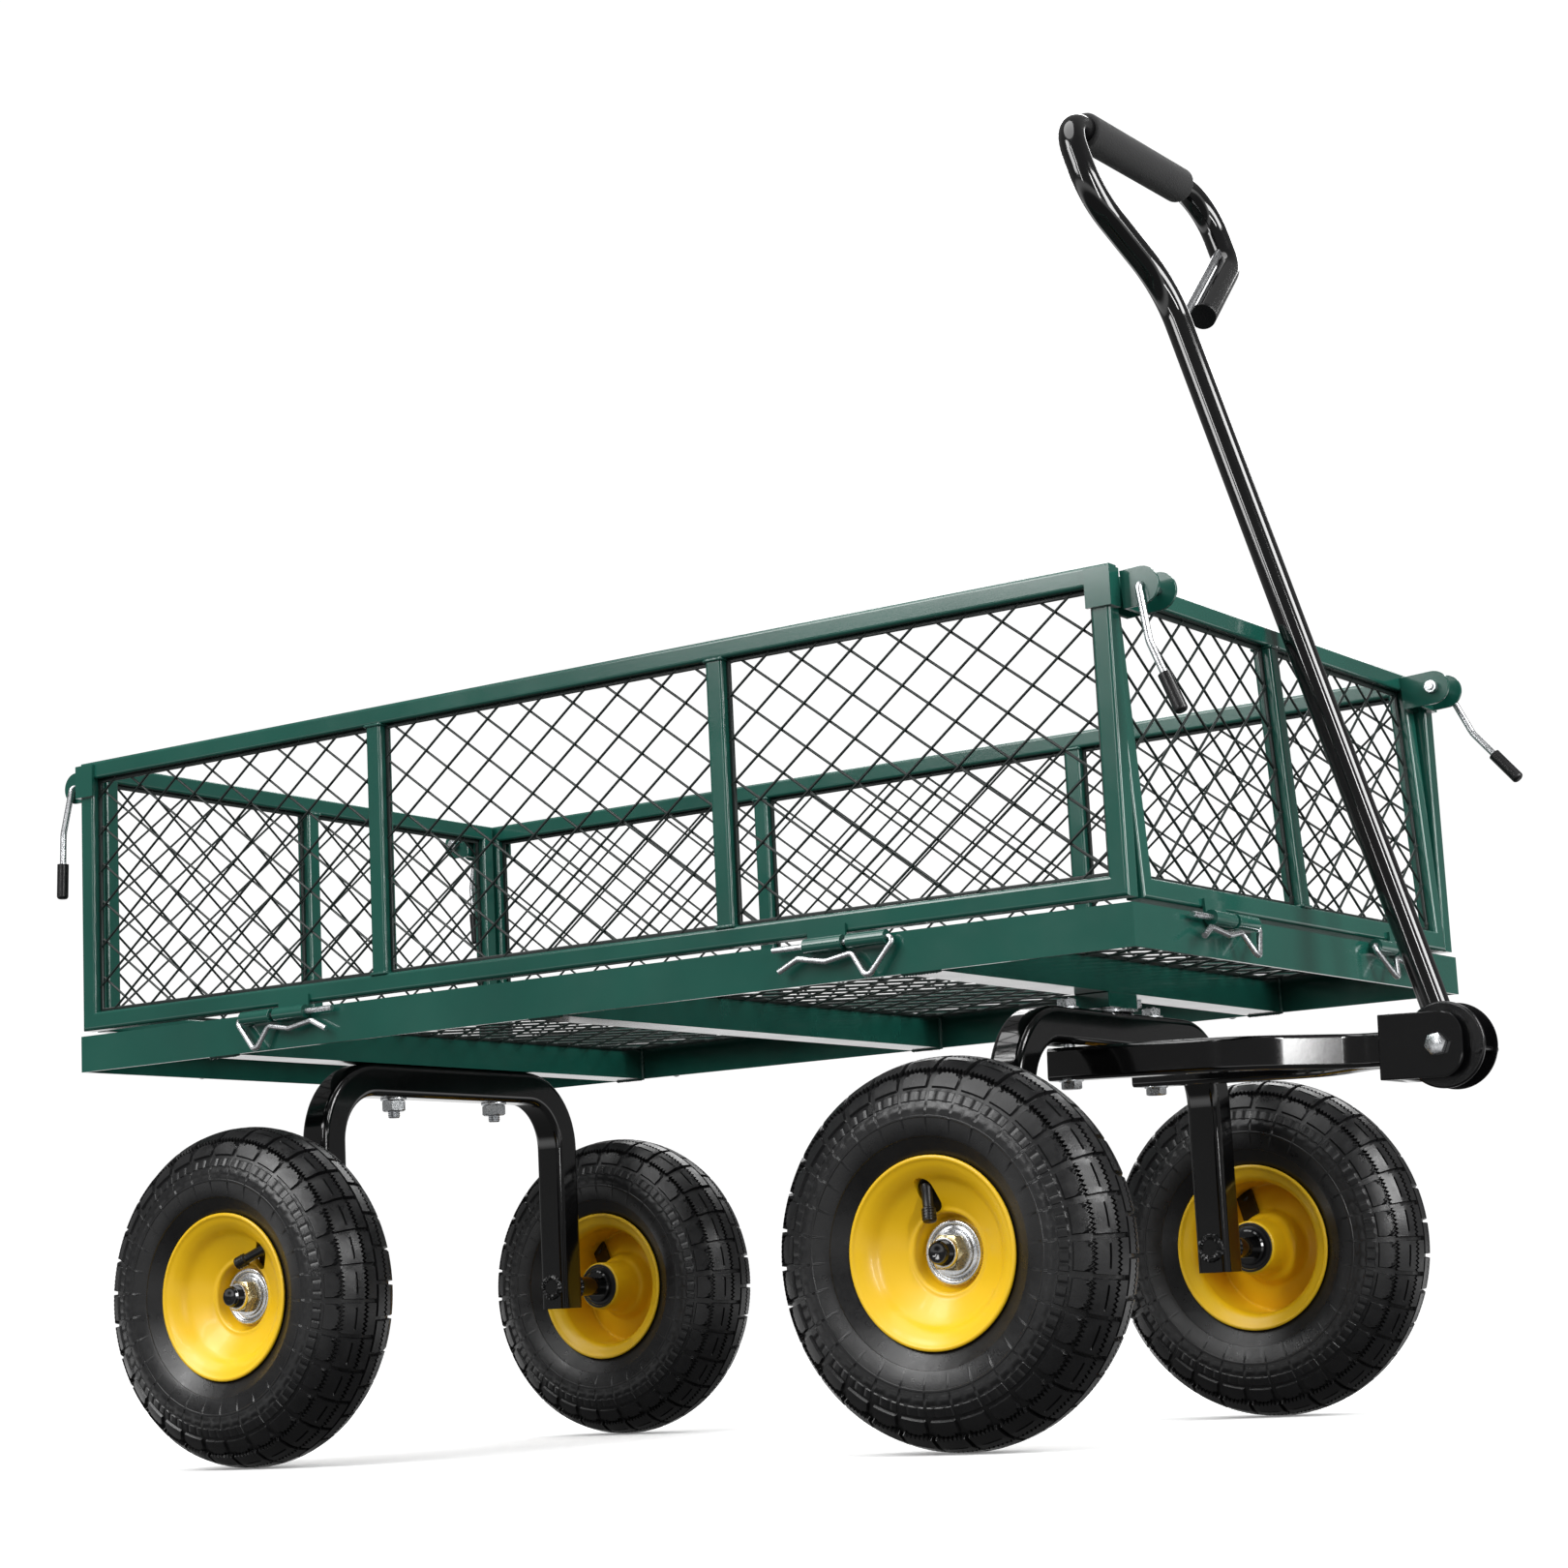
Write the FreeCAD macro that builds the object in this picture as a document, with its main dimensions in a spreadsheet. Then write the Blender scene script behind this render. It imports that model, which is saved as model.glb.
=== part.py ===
import FreeCAD, Part
import math
import os

# Tow-behind garden cart: folding mesh basket on a tube chassis, steered front axle,
# drawbar with a tilting D-handle that doubles as a tow loop.
# +X points to the handle, -Y is the right-hand side, +Z is up, the ground is z = 0.

doc = FreeCAD.newDocument("tow_behind_cart")
sheet = doc.addObject("Spreadsheet::Sheet", "Dims")

DIMS = [
    # frame position
    ("deck_x", -46.15),
    # deck
    ("deck_length", 930.0),
    ("deck_width", 517.0),
    ("deck_tube", 28.0),
    ("deck_wall", 1.6),
    ("deck_leg", 2.5),
    ("deck_bottom", 307.0),
    ("bay_pitch", 310.5),
    ("cross_shift", -4.5),
    # basket
    ("panel_tube", 14.0),
    ("panel_wall", 1.2),
    ("panel_bottom", 339.0),
    ("panel_height", 213.0),
    ("side_length", 926.0),
    ("end_length", 483.0),
    ("side_upright", 155.0),
    ("front_lean", 3.1),
    # wire mesh
    ("mesh_pitch_long", 39.2),
    ("mesh_pitch_high", 30.0),
    ("mesh_wire", 2.2),
    ("mesh_rim", 2.5),
    # hinges
    ("barrel_dia", 10.0),
    ("barrel_length", 30.0),
    ("hinge_wire", 4.0),
    ("hinge_drop", 7.0),
    ("side_hinge_x", 255.0),
    ("end_hinge_y", 130.0),
    # corner latches
    ("ear_dia", 25.0),
    ("ear_gap", 21.5),
    ("ear_plate", 2.5),
    ("latch_rod", 5.0),
    ("latch_z", 536.0),
    ("latch_reach", 15.0),
    # axles and wheels
    ("axle_height", 127.0),
    ("arch_tube", 26.0),
    ("arch_wall", 2.0),
    ("arch_bend", 50.0),
    ("arch_half", 146.0),
    ("front_arch_top", 293.8),
    ("stub_dia", 16.0),
    ("wheel_track", 462.0),
    ("tyre_dia", 254.0),
    ("tyre_width", 80.0),
    ("rim_dia", 126.0),
    ("rim_width", 64.0),
    # drawbar and clevis
    ("bar_height", 23.0),
    ("bar_width", 18.0),
    ("bar_wall", 1.8),
    ("bar_half", 62.0),
    ("bar_tilt", 1.7),
    ("clevis_size", 44.0),
    ("clevis_wall", 3.5),
    ("pivot_x", 560.0),
    ("pivot_z", 248.5),
    ("pivot_bolt", 8.0),
    # handle
    ("handle_lean", 16.65),
    ("handle_tube", 20.0),
    ("handle_wall", 1.6),
    ("grip_dia", 27.0),
    ("disc_dia", 58.0),
    ("tow_pin_dia", 6.0),
]
for row, (alias, value) in enumerate(DIMS, start=1):
    sheet.set("A%d" % row, alias)
    sheet.set("B%d" % row, str(value))
    sheet.setAlias("B%d" % row, alias)
doc.recompute()


def dim(alias):
    return float(sheet.get(alias))


V = FreeCAD.Vector
X_AXIS, Y_AXIS, Z_AXIS = V(1, 0, 0), V(0, 1, 0), V(0, 0, 1)
NODES = []


# ---------------------------------------------------------------- helpers

def keep(obj, label):
    """Registers a finished sub-part under its node name."""
    obj.Label = label
    NODES.append(obj)
    return obj


def feature(label, shape, base=V(0, 0, 0), rotation=None):
    """A sub-part whose shape is worked out by functions, placed as a whole."""
    obj = doc.addObject("Part::Feature", label)
    obj.Shape = shape
    obj.Placement = FreeCAD.Placement(base, rotation or FreeCAD.Rotation())
    return keep(obj, label)


def bind(obj, **expressions):
    for prop, expression in expressions.items():
        obj.setExpression(prop.replace("_", "."), expression)
    return obj


def place(obj, x="0", y="0", z="0", rotation=None):
    """Binds an object's position to sheet values, with a fixed rotation."""
    if rotation is not None:
        obj.Placement = FreeCAD.Placement(V(0, 0, 0), rotation)
    obj.setExpression("Placement.Base.x", x)
    obj.setExpression("Placement.Base.y", y)
    obj.setExpression("Placement.Base.z", z)
    return obj


def block(name, length, width, height, x, y, z):
    obj = doc.addObject("Part::Box", name)
    bind(obj, Length=length, Width=width, Height=height)
    return place(obj, x, y, z)


def cylinder(name, radius, height, x, y, z, axis="Z"):
    turn = {
        "X": FreeCAD.Rotation(Y_AXIS, 90),
        "Y": FreeCAD.Rotation(X_AXIS, -90),
        "Z": FreeCAD.Rotation(),
    }[axis]
    obj = doc.addObject("Part::Cylinder", name)
    bind(obj, Radius=radius, Height=height)
    return place(obj, x, y, z, turn)


def hexagon(name, flats, height, x, y, z, axis="Z"):
    turn = {
        "Y": FreeCAD.Rotation(X_AXIS, -90),
        "Z": FreeCAD.Rotation(),
    }[axis]
    obj = doc.addObject("Part::Prism", name)
    obj.Polygon = 6
    bind(obj, Circumradius="%s / sqrt(3)" % flats, Height=height)
    return place(obj, x, y, z, turn)


def fuse(name, parts):
    obj = doc.addObject("Part::MultiFuse", name)
    obj.Shapes = parts
    return obj


def group(name, parts):
    obj = doc.addObject("Part::Compound", name)
    obj.Links = parts
    return obj


def cut(name, base, tools):
    tool = tools[0] if len(tools) == 1 else fuse(name + "_tools", tools)
    obj = doc.addObject("Part::Cut", name)
    obj.Base = base
    obj.Tool = tool
    return obj


def rounded_section(wide, high, radius):
    """Closed wire in the YZ plane, centred on the origin: a rounded rectangle."""
    a, b = wide / 2, high / 2
    c = math.sqrt(0.5) * radius
    edges = []
    for sy, sz in ((1, 1), (-1, 1), (-1, -1), (1, -1)):
        cy, cz = sy * (a - radius), sz * (b - radius)
        side, top = V(0, sy * a, cz), V(0, cy, sz * b)
        mid = V(0, cy + sy * c, cz + sz * c)
        start, end = (side, top) if sy * sz > 0 else (top, side)
        edges.append(Part.Arc(start, mid, end).toShape())
    lines = []
    for first, second in zip(edges, edges[1:] + edges[:1]):
        lines.append(Part.makeLine(first.lastVertex(True).Point, second.firstVertex(True).Point))
    ordered = [edge for pair in zip(edges, lines) for edge in pair]
    return Part.Wire(ordered)


def straight_bar(wide, high, radius, start, end):
    """A bar of rounded section that runs along X or Z between two points."""
    run = end.sub(start)
    wire = rounded_section(wide, high, radius)
    wire = wire.transformShape(FreeCAD.Rotation(X_AXIS, run).toMatrix())
    wire.translate(start)
    return Part.Face(wire).extrude(run)


def filleted_path(points, radii):
    """Wire through the points, with an arc of the given radius at each inner one."""
    edges = []
    here = points[0]
    for corner, after, radius in zip(points[1:-1], points[2:], radii):
        back = here.sub(corner).normalize()
        ahead = after.sub(corner).normalize()
        half = back.getAngle(ahead) / 2
        reach = radius / math.tan(half)
        start = corner + back * reach
        end = corner + ahead * reach
        bisector = (back + ahead).normalize()
        middle = corner + bisector * (radius / math.sin(half) - radius)
        edges.append(Part.makeLine(here, start))
        edges.append(Part.Arc(start, middle, end).toShape())
        here = end
    edges.append(Part.makeLine(here, points[-1]))
    return Part.Wire(edges)


def swept(path, section):
    """Sweeps a section, drawn in the YZ plane, along a path from its first point."""
    edge = path.Edges[0]
    tangent = edge.tangentAt(edge.FirstParameter)
    wire = section.transformShape(FreeCAD.Rotation(X_AXIS, tangent).toMatrix())
    wire.translate(edge.valueAt(edge.FirstParameter))
    return path.makePipeShell([wire], True, False)


def round_section(radius):
    return Part.Wire(Part.makeCircle(radius, V(0, 0, 0), X_AXIS))


def clip_polygon(points, low, high):
    """Convex polygon cut back to an axis-aligned rectangle, as (u, v) pairs."""
    for axis, limit, sign in ((0, low[0], 1), (0, high[0], -1), (1, low[1], 1), (1, high[1], -1)):
        kept = []
        for first, second in zip(points, points[1:] + points[:1]):
            inside_first = (first[axis] - limit) * sign >= 0
            inside_second = (second[axis] - limit) * sign >= 0
            if inside_first:
                kept.append(first)
            if inside_first != inside_second:
                ratio = (limit - first[axis]) / (second[axis] - first[axis])
                kept.append(tuple(a + (b - a) * ratio for a, b in zip(first, second)))
        points = kept
        if not points:
            return []
    return points


def polygon_area(points):
    pairs = zip(points, points[1:] + points[:1])
    return abs(sum(a[0] * b[1] - b[0] * a[1] for a, b in pairs)) / 2


def mesh_plate(low, high, origin, thickness):
    """Diamond mesh in the XY plane over a rectangle, its lattice fixed to an origin."""
    long_pitch, high_pitch = dim("mesh_pitch_long"), dim("mesh_pitch_high")
    half_u, half_v = long_pitch / 2, high_pitch / 2
    shrink = 1 - dim("mesh_wire") / 2 * math.hypot(half_u, half_v) / (half_u * half_v)
    rim = dim("mesh_rim")
    inner_low = (low[0] + rim, low[1] + rim)
    inner_high = (high[0] - rim, high[1] - rim)
    outline = Part.makePolygon([V(low[0], low[1], 0), V(high[0], low[1], 0), V(high[0], high[1], 0),
                                V(low[0], high[1], 0), V(low[0], low[1], 0)])
    wires = [outline]
    first_row = math.floor((low[1] - origin[1]) / half_v) - 1
    last_row = math.ceil((high[1] - origin[1]) / half_v) + 1
    first_col = math.floor((low[0] - origin[0]) / long_pitch) - 1
    last_col = math.ceil((high[0] - origin[0]) / long_pitch) + 1
    for row in range(first_row, last_row + 1):
        shift = half_u if row % 2 else 0.0
        for col in range(first_col, last_col + 1):
            u = origin[0] + col * long_pitch + shift
            v = origin[1] + row * half_v
            diamond = [(u + half_u * shrink, v), (u, v + half_v * shrink),
                       (u - half_u * shrink, v), (u, v - half_v * shrink)]
            hole = clip_polygon(diamond, inner_low, inner_high)
            if len(hole) < 3 or polygon_area(hole) < 12:
                continue
            corners = [V(a, b, 0) for a, b in hole]
            wires.append(Part.makePolygon(corners + corners[:1]))
    face = Part.makeFace(wires, "Part::FaceMakerBullseye")
    return face.extrude(V(0, 0, thickness))


# ---------------------------------------------------------------- deck

DECK_X = dim("deck_x")
HALF_L, HALF_W = dim("deck_length") / 2, dim("deck_width") / 2 - 0.5
TUBE, WALL = dim("deck_tube"), dim("deck_wall")
DECK_LOW = dim("deck_bottom")
DECK_TOP = DECK_LOW + TUBE

rim_outer = block("rim_outer", "Dims.deck_length", "Dims.deck_width - 1", "Dims.deck_tube",
                  "Dims.deck_x - Dims.deck_length / 2", "-Dims.deck_width / 2 + 0.5", "Dims.deck_bottom")
rim_opening = block("rim_opening", "Dims.deck_length - 2 * Dims.deck_tube",
                    "Dims.deck_width - 1 - 2 * Dims.deck_tube", "Dims.deck_tube + 2",
                    "Dims.deck_x - Dims.deck_length / 2 + Dims.deck_tube",
                    "-Dims.deck_width / 2 + 0.5 + Dims.deck_tube", "Dims.deck_bottom - 1")
rim_pocket = block("rim_pocket", "Dims.deck_length - 2 * Dims.deck_leg",
                   "Dims.deck_width - 1 - 2 * Dims.deck_leg", "Dims.deck_tube - Dims.deck_leg + 1",
                   "Dims.deck_x - Dims.deck_length / 2 + Dims.deck_leg",
                   "-Dims.deck_width / 2 + 0.5 + Dims.deck_leg", "Dims.deck_bottom - 1")
keep(cut("deck_frame_cut", rim_outer, [rim_opening, rim_pocket]), "deck_frame")

CROSS_X = [DECK_X + dim("cross_shift") + i * dim("bay_pitch") for i in (-1, 0, 1)]
crosses = []
for index in (-1, 0, 1):
    centre = "Dims.deck_x + Dims.cross_shift + %d * Dims.bay_pitch" % index
    length = "Dims.deck_width - 2 - 2 * Dims.deck_leg"
    start = "-Dims.deck_width / 2 + 1 + Dims.deck_leg"
    height = "Dims.deck_tube - Dims.deck_leg - 0.3"
    bar = block("cross_bar", "Dims.deck_tube", length, height,
                centre + " - Dims.deck_tube / 2", start, "Dims.deck_bottom")
    hollow = block("cross_bore", "Dims.deck_tube - 2 * Dims.deck_wall", length,
                   height + " - 2 * Dims.deck_wall",
                   centre + " - Dims.deck_tube / 2 + Dims.deck_wall", start,
                   "Dims.deck_bottom + Dims.deck_wall")
    crosses.append(cut("cross_tube", bar, [hollow]))
keep(group("cross_group", crosses), "deck_crossmembers")

bays = []
edges_x = [DECK_X - HALF_L + TUBE]
for x in CROSS_X:
    edges_x += [x - TUBE / 2, x + TUBE / 2]
edges_x.append(DECK_X + HALF_L - TUBE)
for left, right in zip(edges_x[0::2], edges_x[1::2]):
    low, high = (left, -HALF_W + TUBE), (right, HALF_W - TUBE)
    bays.append(mesh_plate(low, high, (DECK_X, 0), dim("mesh_wire")))
feature("deck_mesh", Part.makeCompound(bays), V(0, 0, DECK_TOP - 4))


# ---------------------------------------------------------------- panels

P_TUBE, P_WALL = dim("panel_tube"), dim("panel_wall")
P_HIGH = dim("panel_height")
B_RAD, B_LEN = dim("barrel_dia") / 2, dim("barrel_length")
PIN_RAD = dim("hinge_wire") / 2
DROP = dim("hinge_drop")
BARREL_GAP = 4.0


def mitred_ring(length, height, size, radius):
    """Closed rectangular ring of rounded tube section, mitred at its corners."""
    a, low, high = length / 2 - P_TUBE / 2, P_TUBE / 2, height - P_TUBE / 2
    mid_y = P_TUBE / 2
    path = Part.makePolygon([V(0, mid_y, low), V(a, mid_y, low), V(a, mid_y, high), V(-a, mid_y, high),
                             V(-a, mid_y, low), V(0, mid_y, low)])
    section = rounded_section(size, size, radius)
    section.translate(V(0, mid_y, low))
    shell = Part.BRepOffsetAPI.MakePipeShell(path)
    shell.setTransitionMode(1)
    shell.add(section)
    shell.build()
    shell.makeSolid()
    return shell.shape()


def hinge_barrel(centre_x, fixed):
    """Barrel along X on the hinge axis, with its weld leaf, in panel coordinates."""
    start = V(centre_x - B_LEN / 2, -B_RAD, -DROP)
    barrel = Part.makeCylinder(B_RAD, B_LEN, start, X_AXIS)
    if fixed:
        leaf = Part.makeBox(B_LEN, B_RAD + 0.5, B_RAD, V(start.x, -B_RAD, -DROP - B_RAD))
    else:
        leaf = Part.makeBox(B_LEN, 2.0, DROP + 6.0, V(start.x, -2.0, -DROP))
    bore_rad = PIN_RAD + 0.08
    bore = Part.makeCylinder(bore_rad, B_LEN + 2, start - V(1, 0, 0), X_AXIS)
    return barrel.fuse(leaf).cut(bore)


def panel_frame(length, uprights, hinges):
    """Tube frame with its outer face on y = 0, bottom on z = 0 and middle on x = 0."""
    outer = mitred_ring(length, P_HIGH, P_TUBE, 2.5)
    inner_size = P_TUBE - 2 * P_WALL
    inner = mitred_ring(length, P_HIGH, inner_size, 1.3)
    frame = outer.cut(inner)
    for x in uprights:
        start, end = V(x, P_TUBE / 2, P_TUBE), V(x, P_TUBE / 2, P_HIGH - P_TUBE)
        post = straight_bar(P_TUBE, P_TUBE, 2.5, start, end)
        post = post.cut(straight_bar(inner_size, inner_size, 1.3, start, end))
        frame = frame.fuse(post)
    for x in hinges:
        side = 1 if x > 0 else -1
        frame = frame.fuse(hinge_barrel(x - side * (B_LEN + BARREL_GAP) / 2 * hinges[x], False))
    return frame.removeSplitter()


def sleeve(length, side):
    """Corner plate folded round a side panel's end post, where the latch closes on it."""
    low, high = dim("latch_z") - 12.0 - dim("panel_bottom"), dim("latch_z") + 13.5 - dim("panel_bottom")
    end = side * length / 2
    outer_x = min(end + side * 2.5, end - side * 16.0)
    outer = Part.makeBox(18.5, 2.5, high - low, V(outer_x, -2.5, low))
    cap = Part.makeBox(2.5, 13.0, high - low, V(min(end, end + side * 2.5), -2.5, low))
    return outer.fuse(cap)


def panel_mesh(length, uprights):
    """Mesh plates in the openings between the uprights, in the middle of the tube."""
    stops = [-length / 2 + P_TUBE]
    for x in uprights:
        stops += [x - P_TUBE / 2, x + P_TUBE / 2]
    stops.append(length / 2 - P_TUBE)
    plates = []
    for left, right in zip(stops[0::2], stops[1::2]):
        plate = mesh_plate((left, P_TUBE), (right, P_HIGH - P_TUBE), (0, P_HIGH / 2), dim("mesh_wire"))
        plate.rotate(V(0, 0, 0), X_AXIS, 90)
        plate.translate(V(0, P_TUBE / 2 + dim("mesh_wire") / 2, 0))
        plates.append(plate)
    return Part.makeCompound(plates)


def panel_place(turn, lean=0.0):
    """Base and rotation that hang a panel on its hinge axis, seen from above."""
    rail_out = (HALF_W if turn % 180 == 0 else HALF_L) + 0.5
    spin = FreeCAD.Rotation(Z_AXIS, turn)
    outward = spin.multVec(V(0, -1, 0))
    tilt = FreeCAD.Rotation(spin.multVec(X_AXIS), lean)
    total = tilt.multiply(spin)
    hinge = V(DECK_X, 0, 0) + outward * (rail_out + B_RAD) + V(0, 0, dim("panel_bottom") - DROP)
    return hinge - total.multVec(V(0, -B_RAD, -DROP)), total


SIDE_LEN, END_LEN = dim("side_length"), dim("end_length")
S_UP = dim("side_upright")
S_HINGE, E_HINGE = dim("side_hinge_x"), dim("end_hinge_y")
SIDE_HINGES = {-S_HINGE: 1, S_HINGE: 1}
END_HINGES = {-E_HINGE: -1, E_HINGE: -1}
SIDES = {
    "right": (0, SIDE_LEN, (-S_UP, S_UP), SIDE_HINGES, 0.0),
    "left": (180, SIDE_LEN, (-S_UP, S_UP), SIDE_HINGES, 0.0),
    "rear": (-90, END_LEN, (0.0,), END_HINGES, 0.0),
    "front": (90, END_LEN, (0.0,), END_HINGES, -dim("front_lean")),
}
PLACES = {}
frames = {}
for side, (turn, length, uprights, hinges, lean) in SIDES.items():
    PLACES[side] = panel_place(turn, lean)
    if length not in frames:
        frame = panel_frame(length, uprights, hinges)
        if length == SIDE_LEN:
            frame = frame.fuse([sleeve(length, -1), sleeve(length, 1)]).removeSplitter()
        frames[length] = (frame, panel_mesh(length, uprights))
    frame, mesh = frames[length]
    feature(side + "_panel_frame", frame.copy(), *PLACES[side])
    feature(side + "_panel_mesh", mesh.copy(), *PLACES[side])

# fixed halves of the hinges, on the deck rails
fixed_barrels = []
for side, (turn, length, uprights, hinges, lean) in SIDES.items():
    base, spin = panel_place(turn)
    for x, inward in hinges.items():
        sign = 1 if x > 0 else -1
        barrel = hinge_barrel(x + sign * (B_LEN + BARREL_GAP) / 2 * inward, True)
        barrel.Placement = FreeCAD.Placement(base, spin)
        fixed_barrels.append(barrel)
feature("deck_hinge_barrels", Part.makeCompound(fixed_barrels))

# zinc R-shaped pins: a straight leg through both barrels and a waved spring leg below
CLIP = [(97, 0), (0, 0), (22, -26), (34, -7.9), (55, -11.5), (77, -7.6), (92, -15)]


def hinge_pin(corner_x, inward, swing):
    """Pin with its bend at corner_x, its straight leg running toward the panel's middle."""
    points = [V(inward * a, 0, b) for a, b in CLIP]
    path = filleted_path(points, [3.0, 4.0, 4.0, 6.0, 4.0])
    wire = swept(path, round_section(PIN_RAD))
    wire.rotate(V(0, 0, 0), X_AXIS, -swing)
    wire.translate(V(corner_x, -B_RAD, -DROP))
    return wire


pins = []
for side, (turn, length, uprights, hinges, lean) in SIDES.items():
    base, spin = panel_place(turn)
    for x, inward in hinges.items():
        sign = 1 if x > 0 else -1
        corner = x + sign * inward * (B_LEN + BARREL_GAP / 2 + 7.0)
        pin = hinge_pin(corner, -sign * inward, 20.0 if side in ("front", "rear") else 6.0)
        pin.Placement = FreeCAD.Placement(base, spin).multiply(pin.Placement)
        pins.append(pin)
feature("hinge_pins", Part.makeCompound(pins))


# ---------------------------------------------------------------- corner latches

EAR_R, EAR_T = dim("ear_dia") / 2, dim("ear_plate")
EAR_IN = 220.7
EAR_OUT = EAR_IN + dim("ear_gap") + 2 * EAR_T
FOOT_OUT = 243.9
LATCH_Z = dim("latch_z")
LATCH_X = dim("deck_length") / 2 + dim("latch_reach")
ROD_R = dim("latch_rod") / 2
LEVER_BEND = 3.2
LEVER_Y = EAR_OUT + 0.3 + LEVER_BEND


def latch_bracket(side, base, spin, ear_x):
    """U bracket on an end panel's post, with a stepped foot where the panel leans inward."""
    to_local = FreeCAD.Placement(base, spin).inverse()
    pivot = to_local.multVec(V(ear_x, 0, LATCH_Z))
    back = 0.0 if pivot.y > -15 else pivot.y + 13.9
    foot = Part.makeBox(FOOT_OUT - EAR_IN, EAR_T, 2 * EAR_R, V(EAR_IN, -EAR_T, pivot.z - EAR_R))
    parts = [foot]
    for inner, reach in ((EAR_IN, 0.0), (EAR_OUT - EAR_T, back)):
        ear = Part.makeCylinder(EAR_R, EAR_T, V(inner, pivot.y, pivot.z), X_AXIS)
        neck = Part.makeBox(EAR_T, reach - pivot.y, 2 * EAR_R, V(inner, pivot.y, pivot.z - EAR_R))
        parts.append(ear.fuse(neck))
    web = Part.makeBox(EAR_OUT - EAR_IN, EAR_T, 2 * EAR_R, V(EAR_IN, back - EAR_T, pivot.z - EAR_R))
    bracket = web.fuse(parts).removeSplitter()
    hole = Part.makeCylinder(ROD_R + 0.08, 40.0, V(EAR_IN - 5, pivot.y, pivot.z), X_AXIS)
    bracket = bracket.cut(hole)
    return bracket if side > 0 else bracket.mirror(V(0, 0, 0), X_AXIS)


for end, sign in (("front", 1), ("rear", -1)):
    ear_x = DECK_X + sign * LATCH_X
    brackets = [latch_bracket(s, *PLACES[end], ear_x) for s in (-1, 1)]
    feature(end + "_latch_brackets", Part.makeCompound(brackets), *PLACES[end])

# lever hangs from its pivot leg; angles are from straight down toward +X
LEVERS = {
    "front_right": (1, -1, 8.0),
    "front_left": (1, 1, 26.0),
    "rear_right": (-1, -1, -16.0),
    "rear_left": (-1, 1, -10.0),
}
ELBOW = 14.0
UPPER, LOWER, GRIP_LEN = 38.0, 50.0, 28.0


def lever_point(distance):
    """Point on the lower arm, in the lever's own frame with the pivot at the origin."""
    angle = math.radians(ELBOW)
    return V(distance * math.sin(angle), 0, -UPPER - distance * math.cos(angle))


for name, (sx, sy, angle) in LEVERS.items():
    base = V(DECK_X + sx * LATCH_X, sy * LEVER_Y, LATCH_Z)
    turn = FreeCAD.Rotation(Y_AXIS, -angle)
    leg = V(0, -sy * (LEVER_Y - EAR_IN + 7.0), 0)
    path = filleted_path([leg, V(0, 0, 0), V(0, 0, -UPPER), lever_point(LOWER)],
                         [LEVER_BEND, 18.0])
    lever = swept(path, round_section(ROD_R))
    nut_y = -sy * (LEVER_Y - EAR_IN + 0.4)
    nut = Part.makeCylinder(4.6, 5.0, V(0, nut_y, 0), V(0, -sy, 0))
    nut = nut.cut(Part.makeCylinder(ROD_R + 0.15, 5.0, V(0, nut_y, 0), V(0, -sy, 0)))
    feature("latch_lever_" + name, Part.makeCompound([lever, nut]), base, turn)
    along = (lever_point(1) - lever_point(0)).normalize()
    start = lever_point(LOWER - GRIP_LEN + 2)
    grip = Part.makeCylinder(4.5, GRIP_LEN, start, along)
    tip = [e for e in grip.Edges if e.CenterOfMass.distanceToPoint(start + along * GRIP_LEN) < 0.1]
    grip = grip.makeFillet(2.4, tip)
    grip = grip.cut(Part.makeCylinder(ROD_R + 0.15, GRIP_LEN - 1.7, start, along))
    feature("latch_grip_" + name, grip, base, turn)


# ---------------------------------------------------------------- axle arches

AXLE_Z = dim("axle_height")
ARCH, ARCH_WALL = dim("arch_tube"), dim("arch_wall")
ARCH_HALF = dim("arch_half")
STUB_R = dim("stub_dia") / 2
TRACK = dim("wheel_track") / 2
LEG_LOW = AXLE_Z - 18.0
REAR_X, FRONT_X = CROSS_X[0], CROSS_X[2]


def arch(top, holes):
    """Inverted U of rounded square tube in the plane x = 0, with its cross holes."""
    mid = top - ARCH / 2
    points = [V(0, -ARCH_HALF, LEG_LOW), V(0, -ARCH_HALF, mid), V(0, ARCH_HALF, mid),
              V(0, ARCH_HALF, LEG_LOW)]
    path = filleted_path(points, [dim("arch_bend")] * 2)
    outer = swept(path, rounded_section(ARCH, ARCH, 5.0))
    inner = swept(path, rounded_section(ARCH - 2 * ARCH_WALL, ARCH - 2 * ARCH_WALL, 3.0))
    shape = outer.cut(inner)
    for y, radius in holes:
        shape = shape.cut(Part.makeCylinder(radius, ARCH + 4, V(0, y, top - ARCH - 2), Z_AXIS))
    cross = Part.makeCylinder(STUB_R + 0.2, 2 * ARCH_HALF + 60, V(0, -ARCH_HALF - 30, AXLE_Z), Y_AXIS)
    return shape.cut(cross)


BOLT_Y = 63.0
KING_R = 8.0
feature("rear_axle_arch", arch(DECK_LOW, [(-BOLT_Y, 5.5), (BOLT_Y, 5.5)]), V(REAR_X, 0, 0))
front_holes = [(-BOLT_Y, 4.5), (BOLT_Y, 4.5), (0, KING_R + 0.08)]
feature("front_axle_arch", arch(dim("front_arch_top"), front_holes), V(FRONT_X, 0, 0))

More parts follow.
